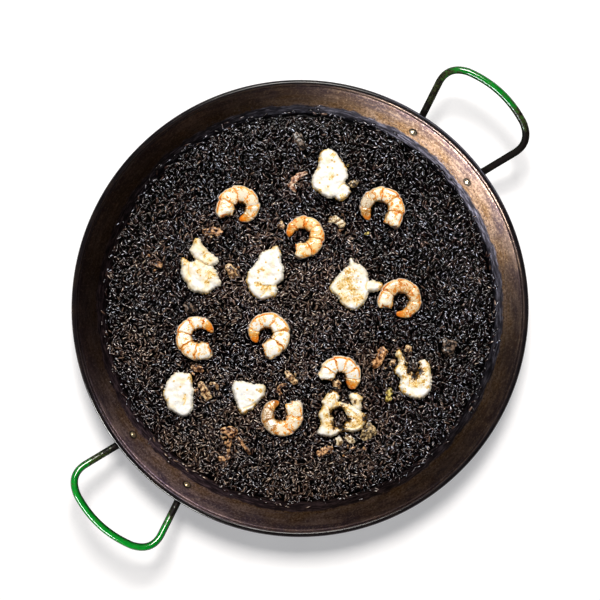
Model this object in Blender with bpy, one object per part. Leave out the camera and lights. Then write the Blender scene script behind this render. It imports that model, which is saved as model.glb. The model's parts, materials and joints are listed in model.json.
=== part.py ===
"""A 46 cm steel paella pan of squid ink rice, topped with prawns, white fish and squid.

Metres, +Z up. The pan stands on z = 0 with its axis on Z, and its two handles lie along X.
The food is set out on a plan of the pan seen from above. The plan's x axis lies PLAN_TURN clockwise
of the handles, and its places are in millimetres from the pan's axis.
"""

import math
import random

import bmesh
import bpy
import numpy as np
from mathutils import Vector
from mathutils.geometry import convex_hull_2d, delaunay_2d_cdt, intersect_point_line

MM = 0.001
GAP = 0.3 * MM  # air between pieces that touch
PLAN_TURN = math.radians(47.2)

# Pan: one sheet of steel, with a flat floor, a round fillet, a straight cone and a rolled bead.
SHEET = 1.5 * MM
RIM_RADIUS = 230 * MM
RIM_HEIGHT = 46 * MM
BEAD_RADIUS = 3 * MM
WALL_SLOPE = math.radians(55)
WALL_FOOT_RADIUS = 193.4 * MM  # where the cone's inner face would meet the floor
WALL_TOP = 42 * MM
FILLET_RADIUS = 25 * MM
FILLET_STEPS = 3
PAN_SIDES = 72

# Handles: a round steel rod, flattened at both ends and riveted to the wall's outer face.
ROD_RADIUS = 3.75 * MM
ROD_SIDES = 8
HANDLE_RISE = math.radians(18)
HANDLE_REACH = 294 * MM  # from the pan's axis to the middle of the grip's centreline
GRIP_BOW_RADIUS = 110 * MM
CORNER_HALF_WIDTH = 57 * MM
CORNER_ROUNDING = 20 * MM
TAB_HALF_WIDTH = 7 * MM
TAB_HALF_THICKNESS = 1.5 * MM
TAB_BELOW_RIVET = 8 * MM
TAB_ABOVE_RIVET = 7 * MM
RIVET_BEARING = math.radians(10.1)  # either side of the handle's axis
RIVET_HEIGHT = 29 * MM
RIVET_SHANK_RADIUS = 2.2 * MM
RIVET_HOLE_RADIUS = 2.6 * MM
RIVET_HEAD_RADIUS = 4 * MM
RIVET_HEAD_HEIGHT = 2 * MM
RIVET_SIDES = 10

# Rice: a shallow bed, with bumps the size of its grains and a flat nest under each topping.
RICE_TOP = 14 * MM
RICE_EDGE_ANGLE = math.radians(-41)  # where the bed meets the fillet, from the fillet's centre
RICE_EDGE_BAND = 14 * MM
RICE_NEST = 12 * MM
RICE_SIDE_GAP = 0.6 * MM
GRAIN_SPACING = 8.3 * MM
GRAIN_BUMP = 1.3 * MM
NEST_MARGIN = 1.6 * MM
NEST_CORNER_STEP = 2 * MM
TOPPING_FLOOR = RICE_NEST + GAP

PRAWN_SEGMENTS = 6
PRAWN_SIDES = 7
PRAWN_FLATNESS = 0.78  # height over width of a prawn lying on its side
FISH_THICKNESS = 10.5 * MM
FISH_EDGE_STEP = 5 * MM
FISH_SHOULDER = 1.9 * MM
STRIP_SIDES = 5

# Prawns: centre, radius of the curl and width of the body at head and tail, the bearing of the head
# and the turn from head to tail, in degrees, anticlockwise positive.
PRAWNS = [
    dict(centre=(-61, 103), radius=(15.5, 11.5), width=(19, 9), head=211, turn=-298),
    dict(centre=(3, 74), radius=(15, 14.5), width=(15, 8), head=245, turn=290),
    dict(centre=(82, 101), radius=(17, 15), width=(17, 10), head=-60, turn=276),
    dict(centre=(103, 8), radius=(16.5, 14.5), width=(14.5, 8), head=203, turn=-305),
    dict(centre=(-104, -29), radius=(15.5, 14.5), width=(18, 9), head=-45, turn=-290),
    dict(centre=(-34, -26), radius=(17, 13.5), width=(17, 9), head=262, turn=310),
    dict(centre=(41, -70), radius=(13.5, 13.5), width=(17.5, 15), head=190, turn=-235),
    dict(centre=(-20, -109), radius=(16, 13), width=(15, 9), head=49, turn=-303),
]

# White fish: the corners of each flake's rounded outline.
FISH_OUTLINES = [
    [(29, 162), (42, 149), (47, 134), (44.5, 127), (50, 119), (42, 111), (28, 115), (12.5, 126), (15, 137),
     (20, 153)],
    [(-106, 71), (-97, 62), (-86, 48), (-94, 44), (-106, 52), (-112, 61)],
    [(-120, 50), (-110, 48), (-99, 44.5), (-88, 40), (-82, 26), (-92, 18), (-105, 15), (-115, 24),
     (-120, 39)],
    [(-24, 63), (-20, 49), (-18.5, 31), (-24, 22), (-28, 12), (-40, 10), (-52, 18), (-55, 29), (-46, 46),
     (-37, 59)],
    [(52, 50), (65, 41), (70, 29), (82, 25), (80, 20), (69, 18), (65, 6), (54, -1), (42, 6), (31, 20),
     (40, 33), (47, 42)],
    [(-123, -67), (-112, -69), (-110, -88), (-113, -106), (-124, -109.5), (-136, -97), (-138, -82),
     (-132, -71)],
    [(-67, -77), (-52, -78), (-38, -80), (-38, -89), (-48, -102), (-59, -107), (-65, -98)],
    [(101, -43), (109, -60), (116, -70), (123, -61), (123, -54), (129, -54), (134, -73), (126, -90),
     (112, -90), (103, -81), (102, -70), (96, -63), (101, -57), (98, -48)],
    [(56, -87), (62.5, -91), (62, -101), (57.5, -100.5), (52.5, -90)],
]

# A torn ring of fish round a gap where the rice shows.
FISH_RING_OUTLINE = [
    (67, -112), (58, -104), (44, -97.5), (40, -94), (37, -85), (26, -92), (20, -110), (18, -126),
    (30, -129), (53, -126), (66, -119),
]
FISH_RING_HOLE = dict(centre=(39.5, -111), half_size=(6.5, 8.5))

# Squid: strips half sunk in the rice, each a path of the middle of the strip and its width.
SQUID_STRIPS = [
    dict(path=[(8, 139), (0, 136.5), (-6, 131.5), (-8.5, 125), (-4, 119)], width=5, kind="brown"),
    dict(path=[(30, 93), (38, 89.5), (46, 84.5)], width=8, kind="brown"),
    dict(path=[(-100, 78), (-90, 79.5), (-79, 77)], width=8, kind="brown"),
    dict(path=[(-75, 45), (-71, 39.5), (-66.5, 33)], width=9, kind="brown"),
    dict(path=[(-149, 47), (-141, 43)], width=6, kind="brown"),
    dict(path=[(-112, -60), (-105, -61), (-99, -65)], width=7, kind="brown"),
    dict(path=[(-103, -75), (-98, -84), (-94, -94)], width=8, kind="brown"),
    dict(path=[(-93, -77), (-87, -77.5), (-84, -84)], width=4, kind="brown"),
    dict(path=[(-15, -64), (-10, -70), (-5, -78)], width=7, kind="brown"),
    dict(path=[(-13, -78), (-19, -78.5), (-22, -84), (-18, -89)], width=4, kind="brown"),
    dict(path=[(84, -39), (84, -46), (80, -54), (75, -61)], width=9, kind="brown"),
    dict(path=[(33.5, -79), (38, -77.5), (42, -79)], width=7, kind="brown"),
    dict(path=[(63, -134), (69, -128), (76, -121)], width=11, kind="brown"),
    dict(path=[(17, -149), (25, -146), (34, -143)], width=8, kind="brown"),
    dict(path=[(-22.5, 82.5), (-17, 87)], width=6, kind="brown"),
    dict(path=[(-119, 5), (-113, 1), (-110.5, -5)], width=9, kind="dark"),
    dict(path=[(145, -39), (151, -41), (158, -42)], width=15, kind="dark"),
    dict(path=[(-6, 180), (-1, 172), (4, 162)], width=9, kind="dark"),
    dict(path=[(53, 131), (56.5, 124)], width=8, kind="dark"),
    dict(path=[(94.5, -52), (95, -58)], width=5, kind="pale"),
    dict(path=[(92, -81), (91, -88), (89, -96)], width=6, kind="pale"),
    dict(path=[(41, -134), (41.5, -138.5)], width=5.5, kind="pale"),
    dict(path=[(47, -132), (55, -136)], width=5, kind="pale"),
    dict(path=[(107.5, -40), (114.5, -41.5)], width=7, kind="pale"),
]

# A whole baby squid: its body, then its arms.
BABY_SQUID = [
    dict(path=[(-75, -122), (-66, -131)], width=11),
    dict(path=[(-70, -128), (-73, -140), (-73, -151)], width=4.5),
    dict(path=[(-67, -129), (-58, -140), (-51, -150)], width=4),
    dict(path=[(-72, -125), (-82, -125)], width=7),
    dict(path=[(-85, -153), (-78, -154), (-71, -150)], width=6),
]


def linear(hex_colour):
    """A colour written as sRGB hex, as Blender's linear values."""
    parts = [int(hex_colour[i : i + 2], 16) / 255 for i in (0, 2, 4)]
    return [p / 12.92 if p <= 0.04045 else ((p + 0.055) / 1.055) ** 2.4 for p in parts] + [1.0]


def material(name, hex_colour, roughness, metallic=0.0):
    made = bpy.data.materials.new(name)
    made.use_nodes = True
    shader = made.node_tree.nodes["Principled BSDF"]
    shader.inputs["Base Color"].default_value = linear(hex_colour)
    shader.inputs["Roughness"].default_value = roughness
    shader.inputs["Metallic"].default_value = metallic
    made.diffuse_color = linear(hex_colour)
    return made


def finish(name, mesh, finish_material, parent=None, location=(0, 0, 0)):
    """Closes a bmesh into a named object with its faces pointing out."""
    bmesh.ops.recalc_face_normals(mesh, faces=mesh.faces)
    data = bpy.data.meshes.new(name)
    mesh.to_mesh(data)
    mesh.free()
    data.materials.append(finish_material)
    data.shade_smooth()
    data.set_sharp_from_angle(angle=math.radians(40))
    made = bpy.data.objects.new(name, data)
    made.parent = parent
    made.location = location
    bpy.context.scene.collection.objects.link(made)
    return made


def skin(rings, loop=False):
    """A closed bmesh over rings of points, with a flat cap on the first and the last, or none on a loop."""
    mesh = bmesh.new()
    rows = [[mesh.verts.new(point) for point in ring] for ring in rings]
    pairs = list(zip(rows, rows[1:]))
    if loop:
        pairs.append((rows[-1], rows[0]))
    for low, high in pairs:
        for i in range(len(low)):
            j = (i + 1) % len(low)
            mesh.faces.new((low[i], low[j], high[j], high[i]))
    if not loop:
        mesh.faces.new(rows[0])
        mesh.faces.new(rows[-1])
    return mesh


def turned_ring(radius, height, sides):
    angles = [2 * math.pi * i / sides for i in range(sides)]
    return [Vector((radius * math.cos(a), radius * math.sin(a), height)) for a in angles]


def smooth_path(corners, per_span, closed=False):
    """Points of a Catmull-Rom curve through the corners."""
    points = [np.array(c, float) for c in corners]
    spans = len(points) if closed else len(points) - 1
    made = []
    for i in range(spans):
        if closed:
            before, start, end, after = (points[(i + k) % len(points)] for k in (-1, 0, 1, 2))
        else:
            start, end = points[i], points[i + 1]
            before = points[i - 1] if i else 2 * start - end
            after = points[i + 2] if i + 2 < len(points) else 2 * end - start
        for step in range(per_span):
            t = step / per_span
            made.append(
                0.5
                * (
                    2 * start
                    + (end - before) * t
                    + (2 * before - 5 * start + 4 * end - after) * t**2
                    + (3 * start - before - 3 * end + after) * t**3
                )
            )
    if not closed:
        made.append(points[-1])
    return np.array(made)


def resampled(points, count, closed=False):
    """The same curve as this many points at even steps."""
    line = np.vstack([points, points[:1]]) if closed else points
    along = np.concatenate([[0], np.cumsum(np.linalg.norm(np.diff(line, axis=0), axis=1))])
    wanted = np.linspace(0, along[-1], count, endpoint=not closed)
    return np.array([[np.interp(s, along, line[:, k]) for k in range(line.shape[1])] for s in wanted])


def length_of(points):
    return np.linalg.norm(np.diff(points, axis=0), axis=1).sum()


def eased(t):
    t = min(1.0, max(0.0, t))
    return t * t * (3 - 2 * t)


# Pan


def wall_radius(height, offset=0.0):
    """Radius of the cone at a height, measured to its inner face moved out by offset."""
    return WALL_FOOT_RADIUS + (height - SHEET) / math.tan(WALL_SLOPE) + offset / math.sin(WALL_SLOPE)


def fillet_centre():
    """(radius, height) of the centre of the round between floor and cone."""
    tangent = FILLET_RADIUS * math.tan(WALL_SLOPE / 2)
    return WALL_FOOT_RADIUS - tangent, SHEET + FILLET_RADIUS


def fillet_point(angle, offset=0.0):
    """(radius, height) on the inner face of the fillet, moved out by offset."""
    radius, height = fillet_centre()
    reach = FILLET_RADIUS + offset
    return radius + reach * math.cos(angle), height + reach * math.sin(angle)


def fillet_angles():
    first, last = -math.pi / 2, WALL_SLOPE - math.pi / 2
    return [first + (last - first) * i / FILLET_STEPS for i in range(FILLET_STEPS + 1)]


def pan_profile():
    """(radius, height) from the floor's edge, up the inner face, round the bead and down the outer face."""
    bead_radius, bead_height = RIM_RADIUS - BEAD_RADIUS, RIM_HEIGHT - BEAD_RADIUS
    inner = [fillet_point(a) for a in fillet_angles()]
    inner.append((wall_radius(WALL_TOP), WALL_TOP))
    bead = [
        (bead_radius + BEAD_RADIUS * math.cos(a), bead_height + BEAD_RADIUS * math.sin(a))
        for a in (math.radians(d) for d in (150, 90, 45, 0, -45, -90))
    ]
    under_bead = bead_height - 0.8 * BEAD_RADIUS
    outer = [(wall_radius(under_bead, SHEET), under_bead)]
    outer += [fillet_point(a, SHEET) for a in reversed(fillet_angles())]
    return inner + bead + outer


def make_pan(steel):
    rings = [turned_ring(radius, height, PAN_SIDES) for radius, height in pan_profile()]
    return finish("pan", skin(rings), steel)


# Handles and rivets


def rivet_axis(side):
    """The point where a rivet's axis crosses the wall's inner face, and the wall's outward normal there.

    side is 1 or -1 for the rivet on the handle's left or right.
    """
    bearing = side * RIVET_BEARING
    radius = wall_radius(RIVET_HEIGHT)
    point = Vector((radius * math.cos(bearing), radius * math.sin(bearing), RIVET_HEIGHT))
    lean = math.sin(WALL_SLOPE)
    normal = Vector((lean * math.cos(bearing), lean * math.sin(bearing), -math.cos(WALL_SLOPE)))
    return point, normal


def bent(start, corner, end, steps):
    """Points of a smooth bend from start to end that rounds the corner."""
    return [
        start.lerp(corner, i / steps).lerp(corner.lerp(end, i / steps), i / steps) for i in range(steps + 1)
    ]


def half_handle_path():
    """The rod's centreline from a tab's lower end to the grip's middle, as (point, how flat, how wide)."""
    on_wall, normal = rivet_axis(1)
    on_tab = on_wall + normal * (SHEET + GAP + TAB_HALF_THICKNESS)
    up_wall = (Vector((0, 0, 1)) - normal * normal.z).normalized()
    bend = on_tab + up_wall * TAB_ABOVE_RIVET

    def grip(across):
        outward = HANDLE_REACH - across**2 / (2 * GRIP_BOW_RADIUS)
        return Vector((outward, across, bend.z + (outward - bend.x) * math.tan(HANDLE_RISE)))

    corner = grip(CORNER_HALF_WIDTH)
    leg = (corner - bend).normalized()
    path = [(on_tab - up_wall * (TAB_BELOW_RIVET - d * MM), 1, wide) for d, wide in ((0, 0.55), (2.5, 1))]
    path += [(on_tab, 1, 1)]
    tab_bend = bent(bend - up_wall * 2 * MM, bend, bend + leg * 3 * MM, 3)
    path += [(point, flat, 1) for point, flat in zip(tab_bend, (1, 0.9, 0.75, 0.55))]
    path += [(bend + leg * d * MM, flat, 1) for d, flat in ((6, 0.3), (10, 0.1), (15, 0))]
    round_end = grip(CORNER_HALF_WIDTH - CORNER_ROUNDING)
    path += [(p, 0, 1) for p in bent(corner - leg * CORNER_ROUNDING, corner, round_end, 6)]
    path += [(grip(round_end.y * share), 0, 1) for share in (0.66, 0.33, 0)]
    return path


def rod_section(point, along, flat, wide):
    """A ring round the rod's centreline: a flattened oval on the tab, a circle elsewhere."""
    upward = Vector((0, 0, 1))
    if flat:
        upward = -rivet_axis(1 if point.y > 0 else -1)[1]
    upward = (upward - along * upward.dot(along)).normalized()
    across = along.cross(upward)
    half_thick = ROD_RADIUS + (TAB_HALF_THICKNESS - ROD_RADIUS) * flat
    half_width = (ROD_RADIUS + (TAB_HALF_WIDTH - ROD_RADIUS) * flat) * wide
    roundness = 1 - 0.45 * flat
    ring = []
    for i in range(ROD_SIDES):
        a = 2 * math.pi * (i + 0.5) / ROD_SIDES
        x = math.copysign(abs(math.cos(a)) ** roundness, math.cos(a))
        y = math.copysign(abs(math.sin(a)) ** roundness, math.sin(a))
        ring.append(point + across * half_width * x + upward * half_thick * y)
    return ring


def make_handle(name, turn, steel):
    half = half_handle_path()
    path = half + [(Vector((p.x, -p.y, p.z)), flat, wide) for p, flat, wide in reversed(half[:-1])]
    points = [point for point, _, _ in path]
    rings = []
    for i, (point, flat, wide) in enumerate(path):
        along = (points[min(i + 1, len(points) - 1)] - points[max(i - 1, 0)]).normalized()
        rings.append(rod_section(point, along, flat, wide))
    made = finish(name, skin(rings), steel)
    made.rotation_euler.z = turn
    return made


def make_rivet(name, side, turn, steel):
    """A rivet through wall and tab, with a domed head inside the pan and another outside."""
    point, normal = rivet_axis(side)
    outer_face = SHEET + GAP + 2 * TAB_HALF_THICKNESS + GAP
    head, shank, rise = RIVET_HEAD_RADIUS, RIVET_SHANK_RADIUS, RIVET_HEAD_HEIGHT
    profile = [
        (0.55 * head, -GAP - rise),
        (head, -GAP - 0.2 * rise),
        (head, -GAP),
        (shank, -GAP),
        (shank, outer_face),
        (head, outer_face),
        (0.55 * head, outer_face + rise),
    ]
    made = finish(name, skin([turned_ring(r, z, RIVET_SIDES) for r, z in profile]), steel)
    place_on_axis(made, point, normal, turn)
    return made


def place_on_axis(made, point, normal, turn):
    """Moves an object made along Z to a rivet's axis on the handle turned by turn."""
    spin = Vector((0, 0, 1)).rotation_difference(normal).to_euler()
    holder = bpy.data.objects.new(made.name + "_turn", None)
    holder.rotation_euler.z = turn
    bpy.context.scene.collection.objects.link(holder)
    made.parent = holder
    made.location = point
    made.rotation_euler = spin


def make_rivet_hole(name, side, turn, collection):
    point, normal = rivet_axis(side)
    reach = 20 * MM
    rings = [turned_ring(RIVET_HOLE_RADIUS, height, RIVET_SIDES) for height in (-reach / 2, reach / 2)]
    mesh = skin(rings)
    bmesh.ops.recalc_face_normals(mesh, faces=mesh.faces)
    data = bpy.data.meshes.new(name)
    mesh.to_mesh(data)
    mesh.free()
    cutter = bpy.data.objects.new(name, data)
    collection.objects.link(cutter)
    place_on_axis(cutter, point, normal, turn)
    cutter.hide_render = True
    cutter.display_type = "WIRE"
    return cutter


def cut_by(target, cutters):
    cut = target.modifiers.new("rivet_holes", "BOOLEAN")
    cut.operation = "DIFFERENCE"
    cut.operand_type = "COLLECTION"
    cut.collection = cutters
    cut.solver = "EXACT"


# Toppings


def on_plan(place):
    return Vector((place[0] * MM, place[1] * MM, 0))


def make_prawn(name, prawn, flesh, plan):
    """A peeled prawn curled on its side: a tapering body of overlapping segments."""
    head_radius, tail_radius = (r * MM for r in prawn["radius"])
    head_width, tail_width = (w * MM for w in prawn["width"])
    start, turn = math.radians(prawn["head"]), math.radians(prawn["turn"])
    stations = [(0.0, 0.62), (0.015, 0.92)]
    for i in range(PRAWN_SEGMENTS):
        stations.append(((i + 0.12) / PRAWN_SEGMENTS, 1.03))
        stations.append(((i + 0.9) / PRAWN_SEGMENTS, 0.93))
    stations += [(0.995, 0.75), (1.02, 0.3)]
    rings = []
    for t, swell in stations:
        bearing = start + turn * t
        radius = head_radius + (tail_radius - head_radius) * t
        half_width = 0.5 * swell * (head_width - (head_width - tail_width) * min(t, 1) ** 2)
        half_height = PRAWN_FLATNESS * half_width
        full_height = PRAWN_FLATNESS * 0.5 * (head_width - (head_width - tail_width) * min(t, 1) ** 2)
        ring = []
        for i in range(PRAWN_SIDES):
            a = 2 * math.pi * (i + 0.5) / PRAWN_SIDES
            reach = radius + half_width * math.cos(a)
            height = 1.03 * full_height + half_height * math.sin(a)
            ring.append(Vector((reach * math.cos(bearing), reach * math.sin(bearing), height)))
        rings.append(ring)
    place = on_plan(prawn["centre"]) + Vector((0, 0, TOPPING_FLOOR))
    return finish(name, skin(rings), flesh, plan, place)


def inset(outline, amount):
    """An outline moved inwards by this much, for an anticlockwise outline, and outwards for a negative one."""
    ahead, behind = np.roll(outline, -1, axis=0), np.roll(outline, 1, axis=0)
    along = ahead - behind
    along /= np.linalg.norm(along, axis=1)[:, None]
    return outline + amount * np.column_stack([-along[:, 1], along[:, 0]])


def signed_area(outline):
    x, y = outline[:, 0], outline[:, 1]
    return 0.5 * (x * np.roll(y, -1) - np.roll(x, -1) * y).sum()


def flake_levels(outline, seed):
    """Rings of a flake of fish: rounded under, widest at mid height, shouldered and uneven on top."""
    centre = outline.mean(axis=0)
    waves = random.Random(seed)
    tilt = [waves.uniform(-0.16, 0.16) for _ in range(2)]
    levels = []
    for amount, height in ((1.0 * MM, 0.0), (0.0, 0.45), (FISH_SHOULDER, 1.0)):
        ring = inset(outline, amount)
        rows = []
        for x, y in ring:
            lean = tilt[0] * (x - centre[0]) + tilt[1] * (y - centre[1]) if height else 0.0
            rows.append(Vector((x, y, height * (FISH_THICKNESS + lean))))
        levels.append(rows)
    return levels


def make_flake(name, corners, flesh, plan, seed):
    curve = smooth_path(corners, 4, closed=True) * MM
    around = length_of(np.vstack([curve, curve[:1]]))
    outline = resampled(curve, round(around / FISH_EDGE_STEP), closed=True)
    if signed_area(outline) < 0:
        outline = outline[::-1]
    middle = outline.mean(axis=0)
    rings = flake_levels(outline - middle, seed)
    return finish(name, skin(rings), flesh, plan, (*middle, TOPPING_FLOOR))


def make_fish_ring(name, flesh, plan):
    """The torn ring: an outer wall, a top and an inner wall round its hole."""
    hole = FISH_RING_HOLE
    middle = np.array(hole["centre"]) * MM
    outline = resampled(smooth_path(FISH_RING_OUTLINE, 4, closed=True) * MM, 36, closed=True) - middle
    if signed_area(outline) < 0:
        outline = outline[::-1]
    bearings = np.arctan2(outline[:, 1], outline[:, 0])
    half = np.array(hole["half_size"]) * MM
    inner = np.column_stack([half[0] * np.cos(bearings), half[1] * np.sin(bearings)])

    def level(shape, height):
        return [Vector((x, y, height)) for x, y in shape]

    top = 0.85 * FISH_THICKNESS
    rings = [
        level(inset(outline, 0.8 * MM), 0),
        level(outline, 0.45 * top),
        level(inset(outline, FISH_SHOULDER), top),
        level(inner * 1.15, 0.95 * top),
        level(inner, 0),
    ]
    return finish(name, skin(rings, loop=True), flesh, plan, (*middle, TOPPING_FLOOR))


def strip_mesh(strip):
    """A limp strip that tapers to both ends, flat side down on z = 0."""
    path = resampled(smooth_path(strip["path"], 4) * MM, 1 + 2 * len(strip["path"]))
    half_width = strip["width"] / 2 * MM
    rings = []
    for i, point in enumerate(path):
        along = path[min(i + 1, len(path) - 1)] - path[max(i - 1, 0)]
        along /= np.linalg.norm(along)
        across = np.array([-along[1], along[0]])
        share = i / (len(path) - 1)
        taper = 0.4 + 0.6 * math.sin(math.pi * min(1, max(0, share))) ** 0.6
        ring = []
        for k in range(STRIP_SIDES):
            a = 2 * math.pi * (k + 0.25) / STRIP_SIDES
            x, y = point + across * half_width * taper * math.cos(a)
            ring.append(Vector((x, y, half_width * 0.62 * (1 + taper * math.sin(a)))))
        rings.append(ring)
    return skin(rings)


def make_strip(name, strip, flesh, plan):
    return finish(name, strip_mesh(strip), flesh, plan, (0, 0, TOPPING_FLOOR))


def make_baby_squid(name, flesh, plan):
    """A baby squid in one solid: its body and arms, joined by one union."""
    arms = bpy.data.collections.new(name + "_arms")
    body = make_strip(name, BABY_SQUID[0], flesh, plan)
    for i, arm in enumerate(BABY_SQUID[1:]):
        piece = make_strip(f"{name}_arm_{i}", arm, flesh, plan)
        bpy.context.scene.collection.objects.unlink(piece)
        arms.objects.link(piece)
    bpy.context.scene.collection.children.link(arms)
    union = body.modifiers.new("arms", "BOOLEAN")
    union.operation = "UNION"
    union.operand_type = "COLLECTION"
    union.collection = arms
    union.solver = "EXACT"
    bpy.context.view_layer.update()
    graph = bpy.context.evaluated_depsgraph_get()
    joined = bpy.data.meshes.new_from_object(body.evaluated_get(graph))
    body.modifiers.clear()
    body.data = joined
    for piece in list(arms.objects):
        bpy.data.objects.remove(piece)
    bpy.data.collections.remove(arms)
    return body


# Rice


def nest_outline(topping):
    """The convex outline of a topping in the pan's frame, with a margin, as 2D points in metres."""
    bpy.context.view_layer.update()
    corners = [topping.matrix_world @ v.co for v in topping.data.vertices]
    flat = [Vector((c.x, c.y)) for c in corners]
    hull = [flat[i] for i in convex_hull_2d(flat)]
    spread = [hull[0]]
    for point in hull[1:]:
        if min((point - spread[-1]).length, (point - spread[0]).length) > NEST_CORNER_STEP:
            spread.append(point)
    middle = sum(spread, Vector((0, 0))) / len(spread)
    return [p + (p - middle).normalized() * NEST_MARGIN for p in spread]


def inside(point, outline, slack):
    """Whether a point lies in a convex outline, or within slack of its edge."""
    signs = set()
    for a, b in zip(outline, outline[1:] + outline[:1]):
        foot, share = intersect_point_line(point, a, b)
        if 0 <= share <= 1 and (foot.to_2d() - point).length < slack:
            return True
        signs.add((b - a).cross(point - a) > 0)
    return len(signs) == 1


def grain_points(nests, edge_radius):
    """A jittered triangular lattice of points over the bed, clear of the nests."""
    jitter = random.Random(11)
    row_step = GRAIN_SPACING * math.sqrt(3) / 2
    rows = int(edge_radius / row_step) + 1
    points = []
    for row in range(-rows, rows + 1):
        for column in range(-rows - 6, rows + 7):
            x = (column + 0.5 * (row % 2)) * GRAIN_SPACING + jitter.uniform(-0.25, 0.25) * GRAIN_SPACING
            y = row * row_step + jitter.uniform(-0.25, 0.25) * GRAIN_SPACING
            point = Vector((x, y))
            if point.length > edge_radius - 0.55 * GRAIN_SPACING:
                continue
            if any((point - nest[0]).length < 80 * MM and inside(point, nest, 2 * MM) for nest in nests):
                continue
            points.append(point)
    return points


def make_rice(ink_rice, toppings):
    """The bed of rice: it fills the pan's foot, and its top has bumps the size of grains."""
    nests = [nest_outline(topping) for topping in toppings]
    edge_radius, edge_height = fillet_point(RICE_EDGE_ANGLE, -RICE_SIDE_GAP)
    edge = [p.to_2d() for p in turned_ring(edge_radius, 0, PAN_SIDES)]
    points, borders = list(edge), [(i, (i + 1) % PAN_SIDES) for i in range(PAN_SIDES)]
    for nest in nests:
        first = len(points)
        points += nest
        borders += [(first + i, first + (i + 1) % len(nest)) for i in range(len(nest))]
    points += grain_points(nests, edge_radius)
    flat, _, faces, sources, _, _ = delaunay_2d_cdt(points, borders, [], 0, 1e-6)

    bumps = random.Random(5)
    mesh = bmesh.new()
    top, rim = [], {}
    for index, point in enumerate(flat):
        on_edge = [i for i in sources[index] if i < PAN_SIDES]
        fall = eased((point.length - edge_radius + RICE_EDGE_BAND) / RICE_EDGE_BAND)
        level = RICE_TOP + (edge_height - RICE_TOP) * fall
        if on_edge:
            height = edge_height
        elif any((point - nest[0]).length < 80 * MM and inside(point, nest, 0.05 * MM) for nest in nests):
            height = RICE_NEST
        else:
            height = level + bumps.choice((-1, 0.2, 1)) * bumps.uniform(0.6, 1) * GRAIN_BUMP
        vertex = mesh.verts.new((point.x, point.y, height))
        top.append(vertex)
        if on_edge:
            rim[on_edge[0]] = vertex
    for face in faces:
        mesh.faces.new([top[i] for i in face])

    upper = [rim[i] for i in range(PAN_SIDES)]
    below = [a for a in fillet_angles() if a < RICE_EDGE_ANGLE - 0.05]
    for angle in reversed(below):
        lower = [mesh.verts.new(p) for p in turned_ring(*fillet_point(angle, -RICE_SIDE_GAP), PAN_SIDES)]
        for i in range(PAN_SIDES):
            j = (i + 1) % PAN_SIDES
            mesh.faces.new((upper[i], upper[j], lower[j], lower[i]))
        upper = lower
    mesh.faces.new(upper)
    return finish("rice", mesh, ink_rice)


def main():
    for old in list(bpy.data.objects):
        bpy.data.objects.remove(old)

    seasoned_steel = material("seasoned_steel", "3a2c24", 0.42, 0.9)
    enamelled_steel = material("enamelled_steel", "157a2a", 0.3)
    rivet_steel = material("rivet_steel", "b8a888", 0.35, 1.0)
    ink_rice = material("ink_rice", "16120f", 0.3)
    prawn_flesh = material("prawn_flesh", "f0b080", 0.4)
    fish_flesh = material("fish_flesh", "f1e6cc", 0.5)
    squid_flesh = {
        "brown": material("squid_brown", "7d5534", 0.4),
        "dark": material("squid_dark", "2c2420", 0.35),
        "pale": material("squid_pale", "c9b283", 0.45),
    }

    plan = bpy.data.objects.new("plan", None)
    plan.rotation_euler.z = -PLAN_TURN
    bpy.context.scene.collection.objects.link(plan)

    toppings = []
    for i, prawn in enumerate(PRAWNS):
        toppings.append(make_prawn(f"prawn_{i + 1}", prawn, prawn_flesh, plan))
    for i, corners in enumerate(FISH_OUTLINES):
        toppings.append(make_flake(f"fish_{i + 1}", corners, fish_flesh, plan, seed=i))
    toppings.append(make_fish_ring("fish_ring", fish_flesh, plan))
    for i, strip in enumerate(SQUID_STRIPS):
        toppings.append(make_strip(f"squid_{i + 1}", strip, squid_flesh[strip["kind"]], plan))
    toppings.append(make_baby_squid("baby_squid", squid_flesh["brown"], plan))
    make_rice(ink_rice, toppings)

    pan = make_pan(seasoned_steel)
    holes = bpy.data.collections.new("rivet_holes")
    bpy.context.scene.collection.children.link(holes)
    cut = [pan]
    for word, turn in (("right", 0.0), ("left", math.pi)):
        cut.append(make_handle(f"handle_{word}", turn, enamelled_steel))
        for number, side in ((1, 1), (2, -1)):
            make_rivet(f"rivet_{word}_{number}", side, turn, rivet_steel)
            make_rivet_hole(f"hole_{word}_{number}", side, turn, holes)
    for target in cut:
        cut_by(target, holes)


main()
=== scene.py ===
"""A steel paella pan of squid ink rice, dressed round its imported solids.

Metres, +Z up, in the part's own frame: the pan's axis is Z and its handles lie along X. The food is laid
out on a plan seen from above, in millimetres from the pan's axis, with its x axis PLAN_TURN clockwise of
the handles. The camera looks straight down with the plan's y axis up the picture.
"""

import json
import math

import bmesh
import bpy
import numpy as np
from mathutils import Matrix, Vector, noise
from mathutils.geometry import delaunay_2d_cdt

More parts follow.
